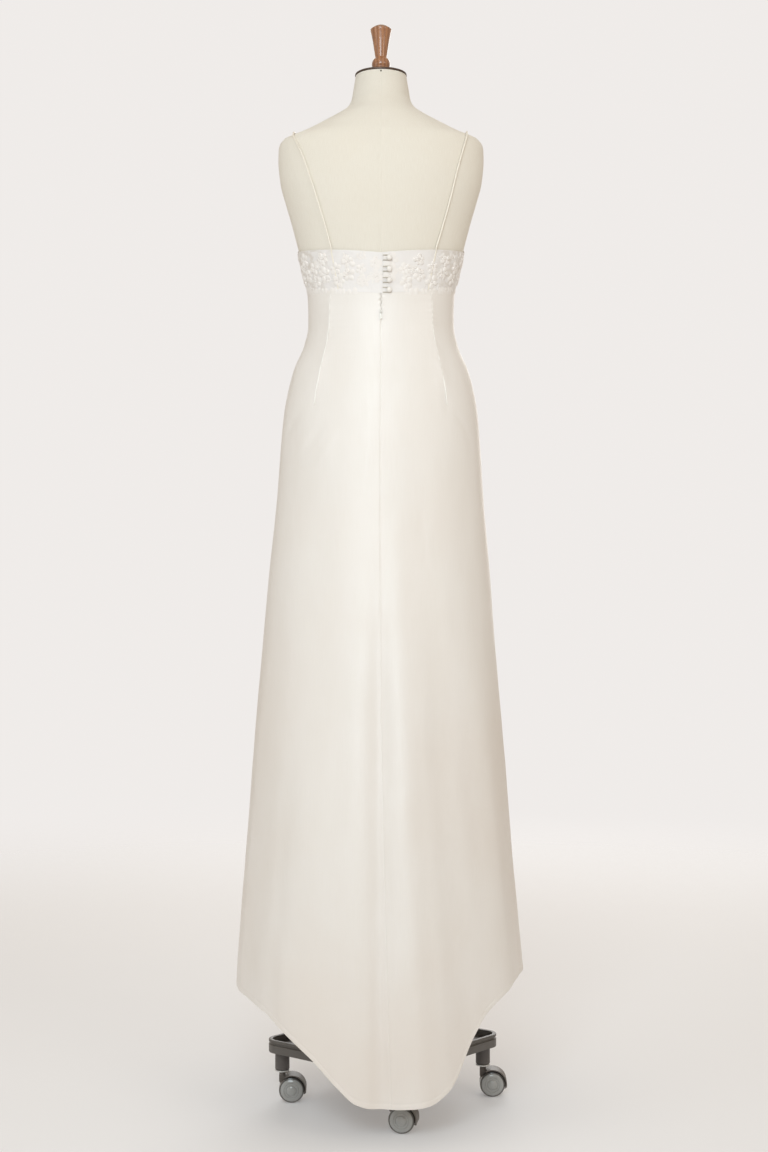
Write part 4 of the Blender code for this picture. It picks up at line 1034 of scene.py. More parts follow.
def back_relief(height, turn, point):
    """A back panel's relief: its seams, its dart, its hem and the pull of the zip."""
    radius = radius_at(height, turn)
    from_seam = np.radians(np.abs(turn)) * radius
    from_side = np.radians(SIDE_TURN - np.abs(turn)) * radius
    relief = cloth_relief(height, drifted(height, turn), point)
    pulled = np.sin(height * PULL_RATE + 2.0 * np.sin(height * PULL_WANDER))
    relief = relief + (1.0 - PULL + PULL * pulled) * seam_relief(from_seam, BACK_SEAM)
    relief = relief + seam_relief(from_side, SIDE_SEAM)
    zipped = ease((height - ZIP_BAR_HEIGHT + ZIP_HOLDS_BELOW) / ZIP_HOLDS_OVER)
    beside = hump(from_seam - ZIP_BESIDE, ZIP_SPREAD)
    relief = relief + zipped * ZIP_RIPPLE.rise * beside * np.sin(height * ZIP_RIPPLE.rate)
    relief = relief + dart_relief(height, turn, radius)
    from_hem = height - hem_height(drifted(HEM_LOWEST, turn))
    return relief + hem_relief(from_hem)


def front_relief(height, turn, point):
    radius = radius_at(height, turn)
    from_side = np.radians(np.minimum(turn - SIDE_TURN, 360.0 - SIDE_TURN - turn)) * radius
    relief = cloth_relief(height, turn, point) + seam_relief(from_side, SIDE_SEAM)
    return relief + hem_relief(height - hem_height(turn))


def on_back_panel(height, turn):
    return on_skirt(height, drifted(height, turn))


def back_hem(turn):
    return hem_height(drifted(HEM_LOWEST, turn))


def skirt_top(turn):
    return waist_seam(turn) - SEAM_GAP / 2


SLIT_OPENS_OVER, SLIT_TURNS = 0.010, 3.0


def back_slit(height):
    """Half the gap at the centre back: the seam, opened along the zip."""
    opened = np.clip((height - ZIP_BAR_HEIGHT) / SLIT_OPENS_OVER, 0.0, 1.0)
    return ZIP_OPENING / 2 * opened


def beside_slit(side):
    """The back panel's surface, with its centre-back edge drawn aside along the zip."""
    def surface(height, turn):
        point = on_back_panel(height, turn)
        near = np.clip(1.0 - np.abs(turn) / SLIT_TURNS, 0.0, 1.0)
        point[..., 0] += near * (side * back_slit(height) + zip_waver(height))
        return point
    return surface


SIDE_RADIUS = 0.0925           # from the pole's axis to the side seams, in the bodice
SIDE_GAP = math.degrees(SEAM_GAP / 2 / SIDE_RADIUS)
RIDGE_OUT, RIDGE_RADIUS, RIDGE_FLAT = 0.0009, 0.00055, 0.3
RIDGE_OUT_MORE, RIDGE_RADIUS_MORE, RIDGE_GROWS_OVER = 0.0004, 0.00050, 0.16
RIDGE_PAST, RIDGE_TAPER, RIDGE_WANDER, RIDGE_RATE = 0.004, 0.008, 0.10, 170.0


def dart_ridge(name, side):
    """The pressed and edge-stitched fold of a dart, standing out more towards its point, paler than the
    satin as a painted highlight.
    """
    heights = np.linspace(DART_END - RIDGE_PAST, float(skirt_top(DART_TURN)), 70)
    turns = side * (DART_TURN + RIDGE_WANDER * np.sin(heights * RIDGE_RATE)) + 0.0 * heights
    share = ease((DART_END + RIDGE_GROWS_OVER - heights) / RIDGE_GROWS_OVER)
    path = on_skirt(heights, turns, RIDGE_OUT + RIDGE_OUT_MORE * share)
    tapered = ease((heights - DART_END + RIDGE_TAPER) / RIDGE_TAPER)
    radius = (RIDGE_RADIUS + RIDGE_RADIUS_MORE * share) * tapered
    normals = way_out(on_skirt, heights, turns)
    return tube(name, path, radius, PALE_STITCH_HIGHLIGHT, 8, flatten=(normals, RIDGE_FLAT + 0.0 * heights))


def make_skirt(fastening):
    """The three panels. fastening is not used."""
    shares = row_shares()
    for name, side in (("skirt_back_left", 1), ("skirt_back_right", -1)):
        piece, outer = cloth_panel("satin_" + name, side * back_columns(SIDE_GAP), skirt_top, back_hem,
                                   beside_slit(side), back_relief, 1.0, SATIN, shares)
        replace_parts(piece, name)
        ridge = dart_ridge(f"dart_ridge_{name[11:]}", side)
    piece, outer = cloth_panel("satin_skirt_front", front_columns(SIDE_GAP), skirt_top, hem_height,
                               on_skirt, front_relief, 1.0, SATIN, shares)
    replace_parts(piece, "skirt_front")


# ---------------------------------------------------------------- the lace bodice

FOOT_LAP, LAP_RISE, LAP_EASE = 0.0010, 0.0006, 0.004
LACE_UNEVEN = ((0.00035, 0.011), (0.0002, 0.004))     # how far in and out, and how large


def bodice_foot(turn):
    return waist_seam(turn) - FOOT_LAP


def top_edge(turn):
    """The bodice's upper edge: the band at the back, the neckline at the front."""
    return np.where(np.abs(wrapped(turn)) < SIDE_TURN, band_top(turn), neckline(turn))


METRES_PER_TURN = 0.0018
LACE_LEVEL = 1.435
ROUND_TURNS = np.linspace(-100.0, 380.0, 1921)
ring_points = on_bodice(LACE_LEVEL + 0.0 * ROUND_TURNS, ROUND_TURNS)
ring_steps = np.linalg.norm(np.diff(ring_points, axis=0), axis=1)
ROUND_LENGTHS = np.concatenate([[0.0], np.cumsum(ring_steps)])
ROUND_LENGTHS -= np.interp(0.0, ROUND_TURNS, ROUND_LENGTHS)


def turn_round(length):
    """The turn reached after going some way round the bodice from the centre back."""
    return np.interp(length, ROUND_LENGTHS, ROUND_TURNS)


def length_round(turn):
    return np.interp(turn, ROUND_TURNS, ROUND_LENGTHS)


def lace_ground(height, turn, point):
    """The ground's own relief. Its foot is laid over the top of the skirt."""
    relief = LAP_RISE * ease(1.0 - (height - bodice_foot(turn)) / LAP_EASE)
    for rise, size in LACE_UNEVEN:
        relief = relief + rise * rumple(point, size)
    return relief


def petal(length, width, rise, steps=8):
    """A domed petal in its own plane, from its root along +X, with a vein sunk along it."""
    points, faces = [(length * 0.5, 0.0, rise * 0.72)], []
    for ring, share in ((0, 0.55), (1, 1.0)):
        for k in range(steps):
            a = 2 * math.pi * k / steps
            x = length * (0.5 + 0.5 * share * math.cos(a))
            y = width * 0.5 * share * math.sin(a) * (0.72 + 0.4 * x / length)
            points.append((x, y, rise * (0.95 if ring == 0 else -0.12)))
    for k in range(steps):
        n = (k + 1) % steps
        faces.append((0, 1 + k, 1 + n))
        faces.append((1 + k, 1 + steps + k, 1 + steps + n, 1 + n))
    return np.array(points), faces


def bead(radius, rise, steps=7):
    """The upper part of a small ball."""
    points, faces = [(0.0, 0.0, rise)], []
    for share, up in ((0.62, 0.80), (1.0, 0.35), (0.86, -0.1)):
        for k in range(steps):
            a = 2 * math.pi * k / steps
            points.append((radius * share * math.cos(a), radius * share * math.sin(a), rise * up))
    for k in range(steps):
        n = (k + 1) % steps
        faces.append((0, 1 + k, 1 + n))
        for low in (1, 1 + steps):
            faces.append((low + k, low + steps + k, low + steps + n, low + n))
    return np.array(points), faces


def turned_flat(points, angle, x, y):
    """Points of a flat shape, turned in their plane and moved to a place in it."""
    c, s = math.cos(angle), math.sin(angle)
    moved = points.copy()
    moved[:, 0] = x + c * points[:, 0] - s * points[:, 1]
    moved[:, 1] = y + s * points[:, 0] + c * points[:, 1]
    return moved


FLOWER_SPACING, FLOWER_MARGIN = 0.0240, 0.0105
FLOWER_SIZES, SPRAY_SIZES = (0.0098, 0.0132), (0.0080, 0.0100)
PETALS, PETAL_RISE, LEAF_RISE, BUD_RISE, SCALLOP_RISE = 5, 0.0019, 0.0009, 0.0010, 0.0008
STEM_RADIUS, STEM_REACH, STEM_MARGIN = 0.00042, 0.012, 0.0065
PEARL_BEAD, SEED_PEARL, LOOSE_PEARL = (0.0011, 0.0022), (0.0006, 0.0012), (0.0008, 0.0014)
KNOT_SIZES, KNOT_RISE, KNOT_PITCH = (0.0005, 0.0008), 0.0005, 0.0085
KNOT_BAND, KNOT_HEIGHTS = 0.075, (1.395, 1.58)
SCALLOP, SCALLOP_INSET = 0.0105, 0.002
SCALLOPS_FROM, SCALLOPS_OVER = 20.0, 14.0
FADE_START, FADE_LENGTH = 12.0, 26.0


class LacePanel:
    """The embroidery of one lace panel, laid out flat and then laid on the bodice."""

    def __init__(self, seed, first_turn, last_turn):
        self.dice = random.Random(seed)
        self.first, self.last = sorted((first_turn, last_turn))
        self.threads, self.pearls = Heap(), Heap()

    def low(self, x):
        return float(bodice_foot(turn_round(x)))

    def high(self, x):
        return float(top_edge(turn_round(x)))

    def inside(self, x, y, margin):
        turn = float(turn_round(x))
        edge = margin / METRES_PER_TURN
        if not self.first + edge * 0.5 < turn < self.last - edge * 0.5:
            return False
        return self.low(x) + margin < y < self.high(x) - margin

    def shape(self, heap, made, angle, x, y):
        points, faces = made
        heap.add(turned_flat(points, angle, x, y), faces)

    def flower(self, x, y, size):
        dice = self.dice
        start = dice.uniform(0, 2 * math.pi)
        for k in range(PETALS):
            angle = start + k * 2 * math.pi / PETALS + dice.uniform(-0.18, 0.18)
            length = size * dice.uniform(0.80, 1.15)
            width = length * dice.uniform(0.78, 0.98)
            made = petal(length, width, PETAL_RISE * dice.uniform(0.7, 1.2), 10)
            root = size * 0.08
            self.shape(self.threads, made, angle, x + root * math.cos(angle), y + root * math.sin(angle))
        self.shape(self.pearls, bead(*PEARL_BEAD), 0.0, x, y)
        for k in range(PETALS):
            angle = start + (k + 0.5) * 2 * math.pi / PETALS
            if dice.random() < 0.55:
                reach = size * 0.36
                spot = (x + reach * math.cos(angle), y + reach * math.sin(angle))
                self.shape(self.pearls, bead(*SEED_PEARL, 6), 0.0, *spot)

    def spray(self, x, y, size, angle):
        """A short curved stem with leaves in pairs and a bud at its end."""
        dice = self.dice
        bend = dice.uniform(-1.0, 1.0)
        spots = []
        for k in range(4):
            step = size * 0.52 * k
            heading = angle + bend * k * 0.22
            spots.append((x + step * math.cos(heading), y + step * math.sin(heading)))
        for k, (px, py) in enumerate(spots[1:], 1):
            if not self.inside(px, py, STEM_MARGIN):
                return
            heading = angle + bend * k * 0.3
            for side in (-1, 1):
                made = petal(size * 0.86, size * 0.40, LEAF_RISE)
                self.shape(self.threads, made, heading + side * 0.85, px, py)
        path = [(px, py, 0.0002) for px, py in spots]
        self.threads.add(*tube_mesh(smooth_path(path, 2), STEM_RADIUS, 5))
        self.shape(self.threads, petal(size * 0.55, size * 0.34, BUD_RISE), heading, *spots[-1])

    def laid_out(self, spacing):
        """Flowers in staggered columns with a spray beside each, then knots and the scallops."""
        dice = self.dice
        x_low, x_high = float(length_round(self.first)), float(length_round(self.last))
        columns = max(2, round((x_high - x_low) / spacing))
        pitch = (x_high - x_low) / columns
        for c in range(columns):
            x = x_low + pitch * (c + 0.5)
            tall = self.high(x) - self.low(x)
            rows = max(2, round(tall / (spacing * 0.92)))
            for r in range(rows):
                shift = 0.25 if c % 2 else -0.25
                y = self.low(x) + tall * (r + 0.5 + shift) / rows
                spot = (x + dice.uniform(-0.16, 0.16) * pitch, y + dice.uniform(-0.1, 0.1) * spacing)
                if self.inside(*spot, FLOWER_MARGIN):
                    self.flower(*spot, dice.uniform(*FLOWER_SIZES))
                angle = dice.uniform(0, 2 * math.pi)
                start = (spot[0] + STEM_REACH * math.cos(angle), spot[1] + STEM_REACH * math.sin(angle))
                self.spray(*start, dice.uniform(*SPRAY_SIZES), angle + dice.uniform(-0.5, 0.5))
        self.filled(x_low, x_high)
        self.scalloped(x_low, x_high)

    def filled(self, x_low, x_high):
        """Small knots and beads scattered between the flowers."""
        dice = self.dice
        for _ in range(int((x_high - x_low) * KNOT_BAND / KNOT_PITCH ** 2)):
            x, y = dice.uniform(x_low, x_high), dice.uniform(*KNOT_HEIGHTS)
            if self.inside(x, y, 0.002):
                if dice.random() < 0.16:
                    self.shape(self.pearls, bead(*LOOSE_PEARL, 6), 0.0, x, y)
                else:
                    self.shape(self.threads, bead(dice.uniform(*KNOT_SIZES), KNOT_RISE, 5), 0.0, x, y)

    def scalloped(self, x_low, x_high):
        """Petals side by side along the foot of the lace, away from the closing."""
        run = x_high - x_low - 2 * SCALLOP_INSET
        count = round(run / (SCALLOP * 0.86))
        for k in range(count):
            x = x_low + SCALLOP_INSET + run * (k + self.dice.uniform(0.3, 0.7)) / count
            away = abs(float(wrapped(turn_round(x))))
            past = float(ease((away - SCALLOPS_FROM) / SCALLOPS_OVER))
            length = SCALLOP * self.dice.uniform(0.75, 1.20)
            made = petal(length * 1.25, length * 1.10, SCALLOP_RISE)
            angle = self.dice.uniform(-0.4, 0.4) - math.pi / 2
            if past > 0.2:
                self.shape(self.threads, made, angle, x, self.low(x) + length * (0.95 - 0.35 * past))

    def place(self, heap, fade):
        """The points of a heap on the bodice's face, lower by the fade near the closing."""
        flat = heap.placed()
        turn = turn_round(flat[:, 0])
        height = flat[:, 1]
        strength = 1.0 - fade * (1.0 - ease((np.abs(wrapped(turn)) - FADE_START) / FADE_LENGTH))
        normal = way_out(on_bodice, height, turn)
        return on_bodice(height, turn) + normal * (flat[:, 2] * strength + 0.0001)[:, None] + POLE


LACE_THINNED = -0.75           # the lace has no turned-up foot, and thins towards it


def lace_panel(name, node, columns, top, rows, seed, fade, material):
    """A lace ground with its embroidery, which lies flatter near the closing by the fade."""
    shares = np.linspace(0.0, 1.0, rows)
    piece, outer = cloth_panel(name, columns, top, bodice_foot, on_bodice, lace_ground, LACE_THINNED,
                               material, shares)
    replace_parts(piece, node)
    panel = LacePanel(seed, columns[0], columns[-1])
    panel.laid_out(FLOWER_SPACING)
    extras = []
    for label, heap, material, share in (
            ("embroidery", panel.threads, THREAD, fade), ("pearls", panel.pearls, PEARL, fade * 0.3)):
        points = panel.place(heap, share)
        extras.append(make_mesh(f"{name}_{label}", points, heap.faces, material))
    return piece, outer, extras


BINDING_RADIUS, BINDING_OUT = 0.0009, -0.0006


def binding(name, columns, edge):
    """A narrow satin binding along an edge of the bodice."""
    heights = edge(columns)
    path = on_bodice(heights, columns, BINDING_OUT)
    normals = way_out(on_bodice, heights, columns)
    return tube(name, path, BINDING_RADIUS, SATIN, sides=8, flatten=(normals, 0.35 + 0 * heights))


BANDS = {"band_back_left": (1, 11), "band_back_right": (-1, 23)}      # the side, and the seed
FRONT_SEED = 37
BAND_FADE = 0.80
CLOSING_GAP = 0.06


def make_bodice(buttons, loops):
    """The two back bands, with their buttons and loops, and the front piece."""
    for name, (side, seed) in BANDS.items():
        start, end = CLOSING_TURN + side * CLOSING_GAP, side * (SIDE_TURN - SIDE_GAP)
        columns = np.array(spaced(start, end, 0.9))
        piece, outer, extras = lace_panel("lace_" + name, name, columns, band_top, 40, seed, BAND_FADE,
                                          BAND_LACE)
        extras.append(binding(f"{name}_top_binding", columns, band_top))
        extras += loops if side > 0 else buttons
    columns = np.array(spaced(SIDE_TURN + SIDE_GAP, 360.0 - SIDE_TURN - SIDE_GAP, 1.0))
    piece, outer, extras = lace_panel("lace_bodice_front", "bodice_front", columns, neckline, 80,
                                      FRONT_SEED, 0.0, FRONT_LACE)
    extras.append(binding("neckline_binding", columns, neckline))


# ---------------------------------------------------------------- straps, buttons and zip

def turn_beside(height, aside, front):
    """The turn at which the form is a given distance from the centre, at a height."""
    share = min(1.0, aside / float(form_body.half_width(height)))
    reach = float((form_body.front if front else form_body.back)(height))
    turn = math.degrees(math.atan2(aside, reach * math.sqrt(1.0 - share * share)))
    return 180.0 - turn if front else turn


SHOULDER_LOW, SHOULDER_HIGH, HALVINGS = 1.65, 1.73, 40
STRAP_ROWS, CROSSING_ROWS = 41, 20


def shoulder_height(aside, turn):
    """How high the form is where a line of this turn is a given distance from the centre."""
    low, high = SHOULDER_LOW, SHOULDER_HIGH
    for _ in range(HALVINGS):
        middle = (low + high) / 2
        if on_form(middle, turn)[0] > aside:
            low = middle
        else:
            high = middle
    return low


def strap_spots(back, front):
    """Heights and turns up the back, over the shoulder and down to the top of the cup."""
    spots = []
    for rows, is_front in ((back, False), (front, True)):
        aside = Curve(rows, "height", "side")
        heights = np.linspace(aside.keys[0], aside.keys[-1], STRAP_ROWS)
        if is_front:
            heights = heights[::-1]
        for height in heights:
            spots.append((height, turn_beside(height, float(aside(height)), is_front)))
        if not is_front:
            start = spots[-1][1]
            end = turn_beside(front[0].height, front[0].side, True)
            for k in range(1, CROSSING_ROWS):
                turn = start + (end - start) * k / CROSSING_ROWS
                beside = rows[-1].side + (front[0].side - rows[-1].side) * k / CROSSING_ROWS
                spots.append((shoulder_height(beside, turn), turn))
    return spots


# Where a strap's pressed ends start and stop below the last point of its cord: how far down, and
# how far round. The tail behind stops at a height of its own.
SEWN_FROM, SEWN_TO = 0.004, 0.016
TAIL_FOOT, TAIL_LEAN = 1.4015, -2.5
CUP_LEAN_FROM, CUP_LEAN_TO, CUP_PRESSED = 1.1, 4.4, 0.7
LIFT_OVER_EDGE, EDGE_NEAR, PRESSED_AT_EDGE = 0.0012, 0.012, 0.35
BLUNT, BLUNT_LENGTH = 0.1, 0.002


def sewn_flat(side, first, last, pressed):
    """The flattened end of a strap, on the outside of the lace between two heights and turns."""
    heights, turns = np.linspace(first, last, 25).T
    normals = way_out(on_bodice, heights, side * turns)
    return on_bodice(heights, side * turns, 0.0003), normals, pressed + 0.0 * heights


def make_straps():
    """Rouleau straps. Each end runs down over the lace, where it is pressed flat and sewn."""
    for name, side in (("left", 1), ("right", -1)):
        heights, turns = np.array(strap_spots(STRAP_BACK[name], STRAP_FRONT)).T
        rise = ease((heights - np.where(turns > SIDE_TURN, heights[-1], heights[0])) / EDGE_NEAR)
        normals = way_out(on_form, heights, side * turns)
        lift = STRAP_LIFT + LIFT_OVER_EDGE * (1.0 - rise)
        over = on_form(heights, side * turns) + normals * lift[:, None]
        tail_end, tail_start = (TAIL_FOOT, turns[0] + TAIL_LEAN), (heights[0] - SEWN_FROM, turns[0])
        cup_start = (heights[-1] - SEWN_FROM, turns[-1] + CUP_LEAN_FROM)
        cup_end = (heights[-1] - SEWN_TO, turns[-1] + CUP_LEAN_TO)
        stretches = (
            sewn_flat(side, tail_end, tail_start, TAIL_PRESSED[name]),
            (over, normals, PRESSED_AT_EDGE * (1.0 - rise)),
            sewn_flat(side, cup_start, cup_end, CUP_PRESSED))
        path, normals, pressed = (np.concatenate(parts) for parts in zip(*stretches))
        runs = run_along(path)
        tapered = np.minimum(1.0, BLUNT + np.minimum(runs, runs[-1] - runs) / BLUNT_LENGTH)
        piece = tube("satin_strap_" + name, path, STRAP_RADIUS * tapered, STRAP_SATIN, 12,
                     flatten=(normals, pressed), rolled=True)
        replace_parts(piece, "strap_" + name)


def back_face(height, aside):
    turn = math.degrees(math.atan2(aside, float(form_body.back(height))))
    return on_bodice(height, turn), way_out(on_bodice, height, turn)


BUTTON_EDGE = 0.0009
LOOP_PLAY, LOOP_STEPS = 0.0002, 6


def make_buttons():
    """Covered buttons on shanks, and the rouleau loops that hold them."""
    under, top = SHANK_RISE + SEAM_GAP, SHANK_RISE + SEAM_GAP + BUTTON_RISE
    edge = under + BUTTON_EDGE
    profile = [(0.0, SEAM_GAP), (SHANK_RADIUS, SEAM_GAP), (SHANK_RADIUS * 0.9, under)]
    profile += [(BUTTON_RADIUS - BUTTON_EDGE, under), (BUTTON_RADIUS - 0.0002, under + 0.0004)]
    for degrees in (0, 12, 24, 38, 52, 66, 80):
        a = math.radians(degrees)
        profile.append((BUTTON_RADIUS * math.cos(a), edge + (top - edge) * math.sin(a)))
    profile.append((0.0, top))
    buttons, loops = [], []
    for number, height in enumerate(BUTTON_HEIGHTS, 1):
        point, normal = back_face(height, BUTTON_SIDE)
        place = frame_on(point + POLE, normal)
        piece = lathe(f"covered_button_{number}", profile, 32, SATIN, place)
        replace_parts(piece, f"button_{number}")
        buttons.append(piece)
        loops.append(make_loop(number, height))
    return buttons, loops


def make_loop(number, height):
    clear = SEAM_GAP + LOOP_WIRE
    bend = SHANK_RADIUS + clear + LOOP_PLAY
    reach = LOOP_FOOT - BUTTON_SIDE
    flat = [(-reach * (1 - k / LOOP_STEPS), -bend) for k in range(LOOP_STEPS)]
    for a in np.linspace(-math.pi / 2, math.pi / 2, 13):
        flat.append((bend * math.cos(a), bend * math.sin(a)))
    flat += [(-reach * k / LOOP_STEPS, bend) for k in range(1, LOOP_STEPS + 1)]
    path = []
    for along, up in flat:
        cloth, normal = back_face(height + up, BUTTON_SIDE - along)
        path.append(cloth + normal * clear)
    piece = tube(f"rouleau_loop_{number}", np.array(path), LOOP_WIRE, SHADED_LOOP_CORD, 10)
    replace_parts(piece, f"button_loop_{number}")
    return piece


COIL_PITCH, COIL_HALF_WIDTH, COIL_HALF_DEPTH, COIL_WIRE = 0.0011, 0.0009, 0.0004, 0.00028
COIL_BEHIND, COIL_BELOW_BAR = 0.0014, 0.006
TAPE_HALF, TAPE_BEHIND, TAPE_THICK = 0.0055, 0.0006, 0.0003


def make_zip():
    """The coil of the closed zip, on its tape, seen in the slit above the slider."""
    low, high = ZIP_BAR_HEIGHT - COIL_BELOW_BAR, float(skirt_top(0.0))
    heights = np.linspace(low, high, 24)
    behind = on_back_panel(heights, 0.0 * heights)[:, 1] - COIL_BEHIND
    coil = []
    for share in np.linspace(0.0, 1.0, 600):
        height = low + (high - low) * share
        a = share * 2 * math.pi * (high - low) / COIL_PITCH
        y = float(np.interp(height, heights, behind))
        coil.append((COIL_HALF_WIDTH * math.cos(a), y + COIL_HALF_DEPTH * math.sin(a), height))
    teeth = tube("zip_coil", np.array(coil), COIL_WIRE, TAPE, 5)
    grid = []
    for y, z in zip(behind, heights):
        grid.append([(x, y - TAPE_BEHIND, z) for x in (-TAPE_HALF, 0.0, TAPE_HALF)])
    grid = np.array(grid)
    inner = grid - np.array([0, TAPE_THICK, 0])
    return [teeth, shell("zip_tape", grid, inner, across_and_down(grid), TAPE)]


# ---------------------------------------------------------------- the form and the stand

LINEN_ROUND = 0.14             # metres of linen to each radian round the torso
RING_STEP, TURN_STEP = 0.006, 3.0
LINEN_SEAMS, BESIDE_SEAM = (0.0, 90.0, 180.0, 270.0), (-0.9, -0.45, 0.0, 0.45, 0.9)
LINEN_RUMPLE, LINEN_UNDER = 0.00018, 0.0003
SEAM_SINKS, SEAM_LIFTS = 0.0002, 0.00010


def make_form():
    """The linen-covered torso, with its seams down the centres and the sides."""
    heights = []
    for low, high in zip(FORM, FORM[1:]):
        count = max(2, round((high.height - low.height) / RING_STEP))
        heights += list(np.linspace(low.height, high.height, count + 1)[:-1])
    heights = np.array(heights + [FORM[-1].height])
    turns = set(np.round(np.arange(0.0, 360.0, TURN_STEP), 3))
    for seam in LINEN_SEAMS:
        turns |= {round((seam + away) % 360.0, 3) for away in BESIDE_SEAM}
    turns = np.array(sorted(turns))
    turn = turns[None, :] + np.zeros((len(heights), 1))
    height = heights[:, None] + 0.0 * turn
    base = on_form(height, turn)
    lift = LINEN_RUMPLE * rumple(base, 0.03) - LINEN_UNDER
    for seam in LINEN_SEAMS:
        away = np.abs(wrapped(turn - seam))
        lift = lift - SEAM_SINKS * hump(away, 0.45) + SEAM_LIFTS * hump(away - 0.9, 0.5)
    points = base + way_out(on_form, height, turn) * lift[..., None]
    rows, columns = turn.shape
    faces = [tuple(face) for face in grid_faces(rows, columns, closed=True)]
    faces.append(tuple(range(columns)))
    faces.append(tuple(range((rows - 1) * columns, rows * columns)))
    threads = across_and_down(points)
    threads[..., 0] = np.radians(wrapped(turn)) * LINEN_ROUND
    piece = make_mesh("linen_torso", points.reshape(-1, 3) + POLE, faces, LINEN,
                      threads=threads, sharp=60.0)
    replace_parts(piece, "form_torso")


CAP = ((0.0, 0.0), (0.0440, 0.0), (0.0451, 0.0004), (0.0454, 0.0012), (0.0454, 0.0024),
       (0.0450, 0.0034), (0.0438, 0.0040), (0.0360, 0.0050), (0.0280, 0.0056), (0.0, 0.0062))
FINIAL_FOOT = ((0.0, 0.0), (0.0150, 0.0))
FINIAL = (
    (0.0156, 0.0012), (0.0158, 0.0030), (0.0150, 0.0072), (0.0147, 0.0085), (0.0160, 0.0130),
    (0.0158, 0.0175), (0.0140, 0.0220), (0.0112, 0.0252), (0.0104, 0.0280), (0.0121, 0.0400),
    (0.0146, 0.0560), (0.0172, 0.0690), (0.0183, 0.0740), (0.0180, 0.0762), (0.0130, 0.0800),
    (0.0070, 0.0828), (0.0001, 0.0838),
)
TACK = ((0.0, -0.0002), (0.0014, -0.0002), (0.0014, 0.0003), (0.0009, 0.0008), (0.0, 0.0010))
TACK_HEIGHT = 1.7848


def over_pole(height):
    return Matrix.Translation(Vector(POLE) + Vector((0, 0, height)))


def make_neck():
    foot = FORM[-1].height + SEAM_GAP
    place = over_pole(foot)
    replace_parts(lathe("brown_cap", CAP, 64, CAP_METAL, place), "neck_cap")
    place = over_pole(foot + CAP[-1][1] + SEAM_GAP)
    profile = list(FINIAL_FOOT) + rounded(FINIAL, 4)
    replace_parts(lathe("turned_finial", profile, 48, WOOD, place), "finial")
    point = on_form(TACK_HEIGHT, 0.0) + POLE
    lathe("neck_tack", TACK, 16, CAP_METAL, frame_on(point, (0.0, 1.0, 0.0)))


BASE_CENTRE = np.array([-0.004, 0.0])
CASTOR_RADIUS = 0.1765
CORNERS = (5.0, 95.0, 186.0, 275.0)
TRAIL_WAY = (181.0, 170.0, 178.0, 205.0)
BASE_TOP, BASE_BOTTOM, BASE_CORNER, BASE_BULGE, RIM_WIDTH = 0.1090, 0.0865, 0.0235, -0.0060, 0.0070
CORNER_HALF, CORNER_POINTS, BASE_SIDE_POINTS = 50, 17, 19


def around(centre, radius, degrees):
    a = math.radians(degrees)
    return centre + radius * np.array([math.cos(a), math.sin(a)])


def base_outline(inset):
    """Four round corners over the castors, joined by sides that bow in a little."""
    outline = []
    radius = BASE_CORNER - inset
    for number in range(4):
        middle = CORNERS[number]
        after = CORNERS[(number + 1) % 4] + (360.0 if number == 3 else 0.0)
        here, there = (around(BASE_CENTRE, CASTOR_RADIUS, angle) for angle in (middle, after))
        for away in np.linspace(-CORNER_HALF, CORNER_HALF, CORNER_POINTS):
            outline.append(around(here, radius, middle + away))
        start, end = outline[-1], around(there, radius, after - CORNER_HALF)
        outward = (start + end) / np.linalg.norm(start + end)
        for t in np.linspace(0, 1, BASE_SIDE_POINTS)[1:-1]:
            outline.append(start + (end - start) * t + outward * BASE_BULGE * 4 * t * (1 - t))
    return np.array(outline)


def make_base():
    """The rim round the deck, with a soft groove in its side and rounded edges."""
    levels = (
        (0.0012, BASE_BOTTOM), (0.0003, BASE_BOTTOM + 0.0004), (0.0, BASE_BOTTOM + 0.0012),
        (0.0, BASE_TOP - 0.0089), (0.0004, BASE_TOP - 0.0084), (0.0021, BASE_TOP - 0.0079),
        (0.0026, BASE_TOP - 0.0070), (0.0026, BASE_TOP - 0.0060), (0.0021, BASE_TOP - 0.0051),
        (0.0004, BASE_TOP - 0.0046), (0.0, BASE_TOP - 0.0041), (0.0, BASE_TOP - 0.0014),
        (0.0004, BASE_TOP - 0.0004), (0.0014, BASE_TOP), (RIM_WIDTH - 0.0012, BASE_TOP),
        (RIM_WIDTH - 0.0003, BASE_TOP - 0.0004), (RIM_WIDTH, BASE_TOP - 0.0014),
        (RIM_WIDTH, BASE_BOTTOM),
    )
    rings = []
    for inset, height in levels:
        outline = base_outline(inset)
        rings.append(np.column_stack([outline, np.full(len(outline), height)]))
    count, last = len(rings[0]), (len(rings) - 1) * len(rings[0])
    points = np.concatenate(rings)
    faces = [tuple(face) for face in grid_faces(len(rings), count, closed=True)]
    faces += [(last + k, last + (k + 1) % count, (k + 1) % count, k) for k in range(count)]
    piece = make_mesh("painted_rim", points + POLE, faces, PAINT, sharp=35.0)
    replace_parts(piece, "base_rim")


DECK_HEIGHT = 0.0980


def make_pole():
    foot, top = DECK_HEIGHT + SEAM_GAP, FORM[0].height - SEAM_GAP
    profile = (
        (0.0, foot), (0.0320, foot), (0.0320, foot + 0.007), (0.0312, foot + 0.009),
        (0.0250, foot + 0.0175), (0.0222, foot + 0.022), (0.0202, 0.1390), (0.0200, 0.1400),
        (0.0200, 0.1442), (0.0192, 0.1450), (0.0150, 0.1450), (0.0150, top - 0.0110),
        (0.0400, top - 0.0060), (0.0400, top), (0.0, top),
    )
    place = over_pole(0.0)
    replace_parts(lathe("painted_pole", profile, 48, PAINT, place), "pole")


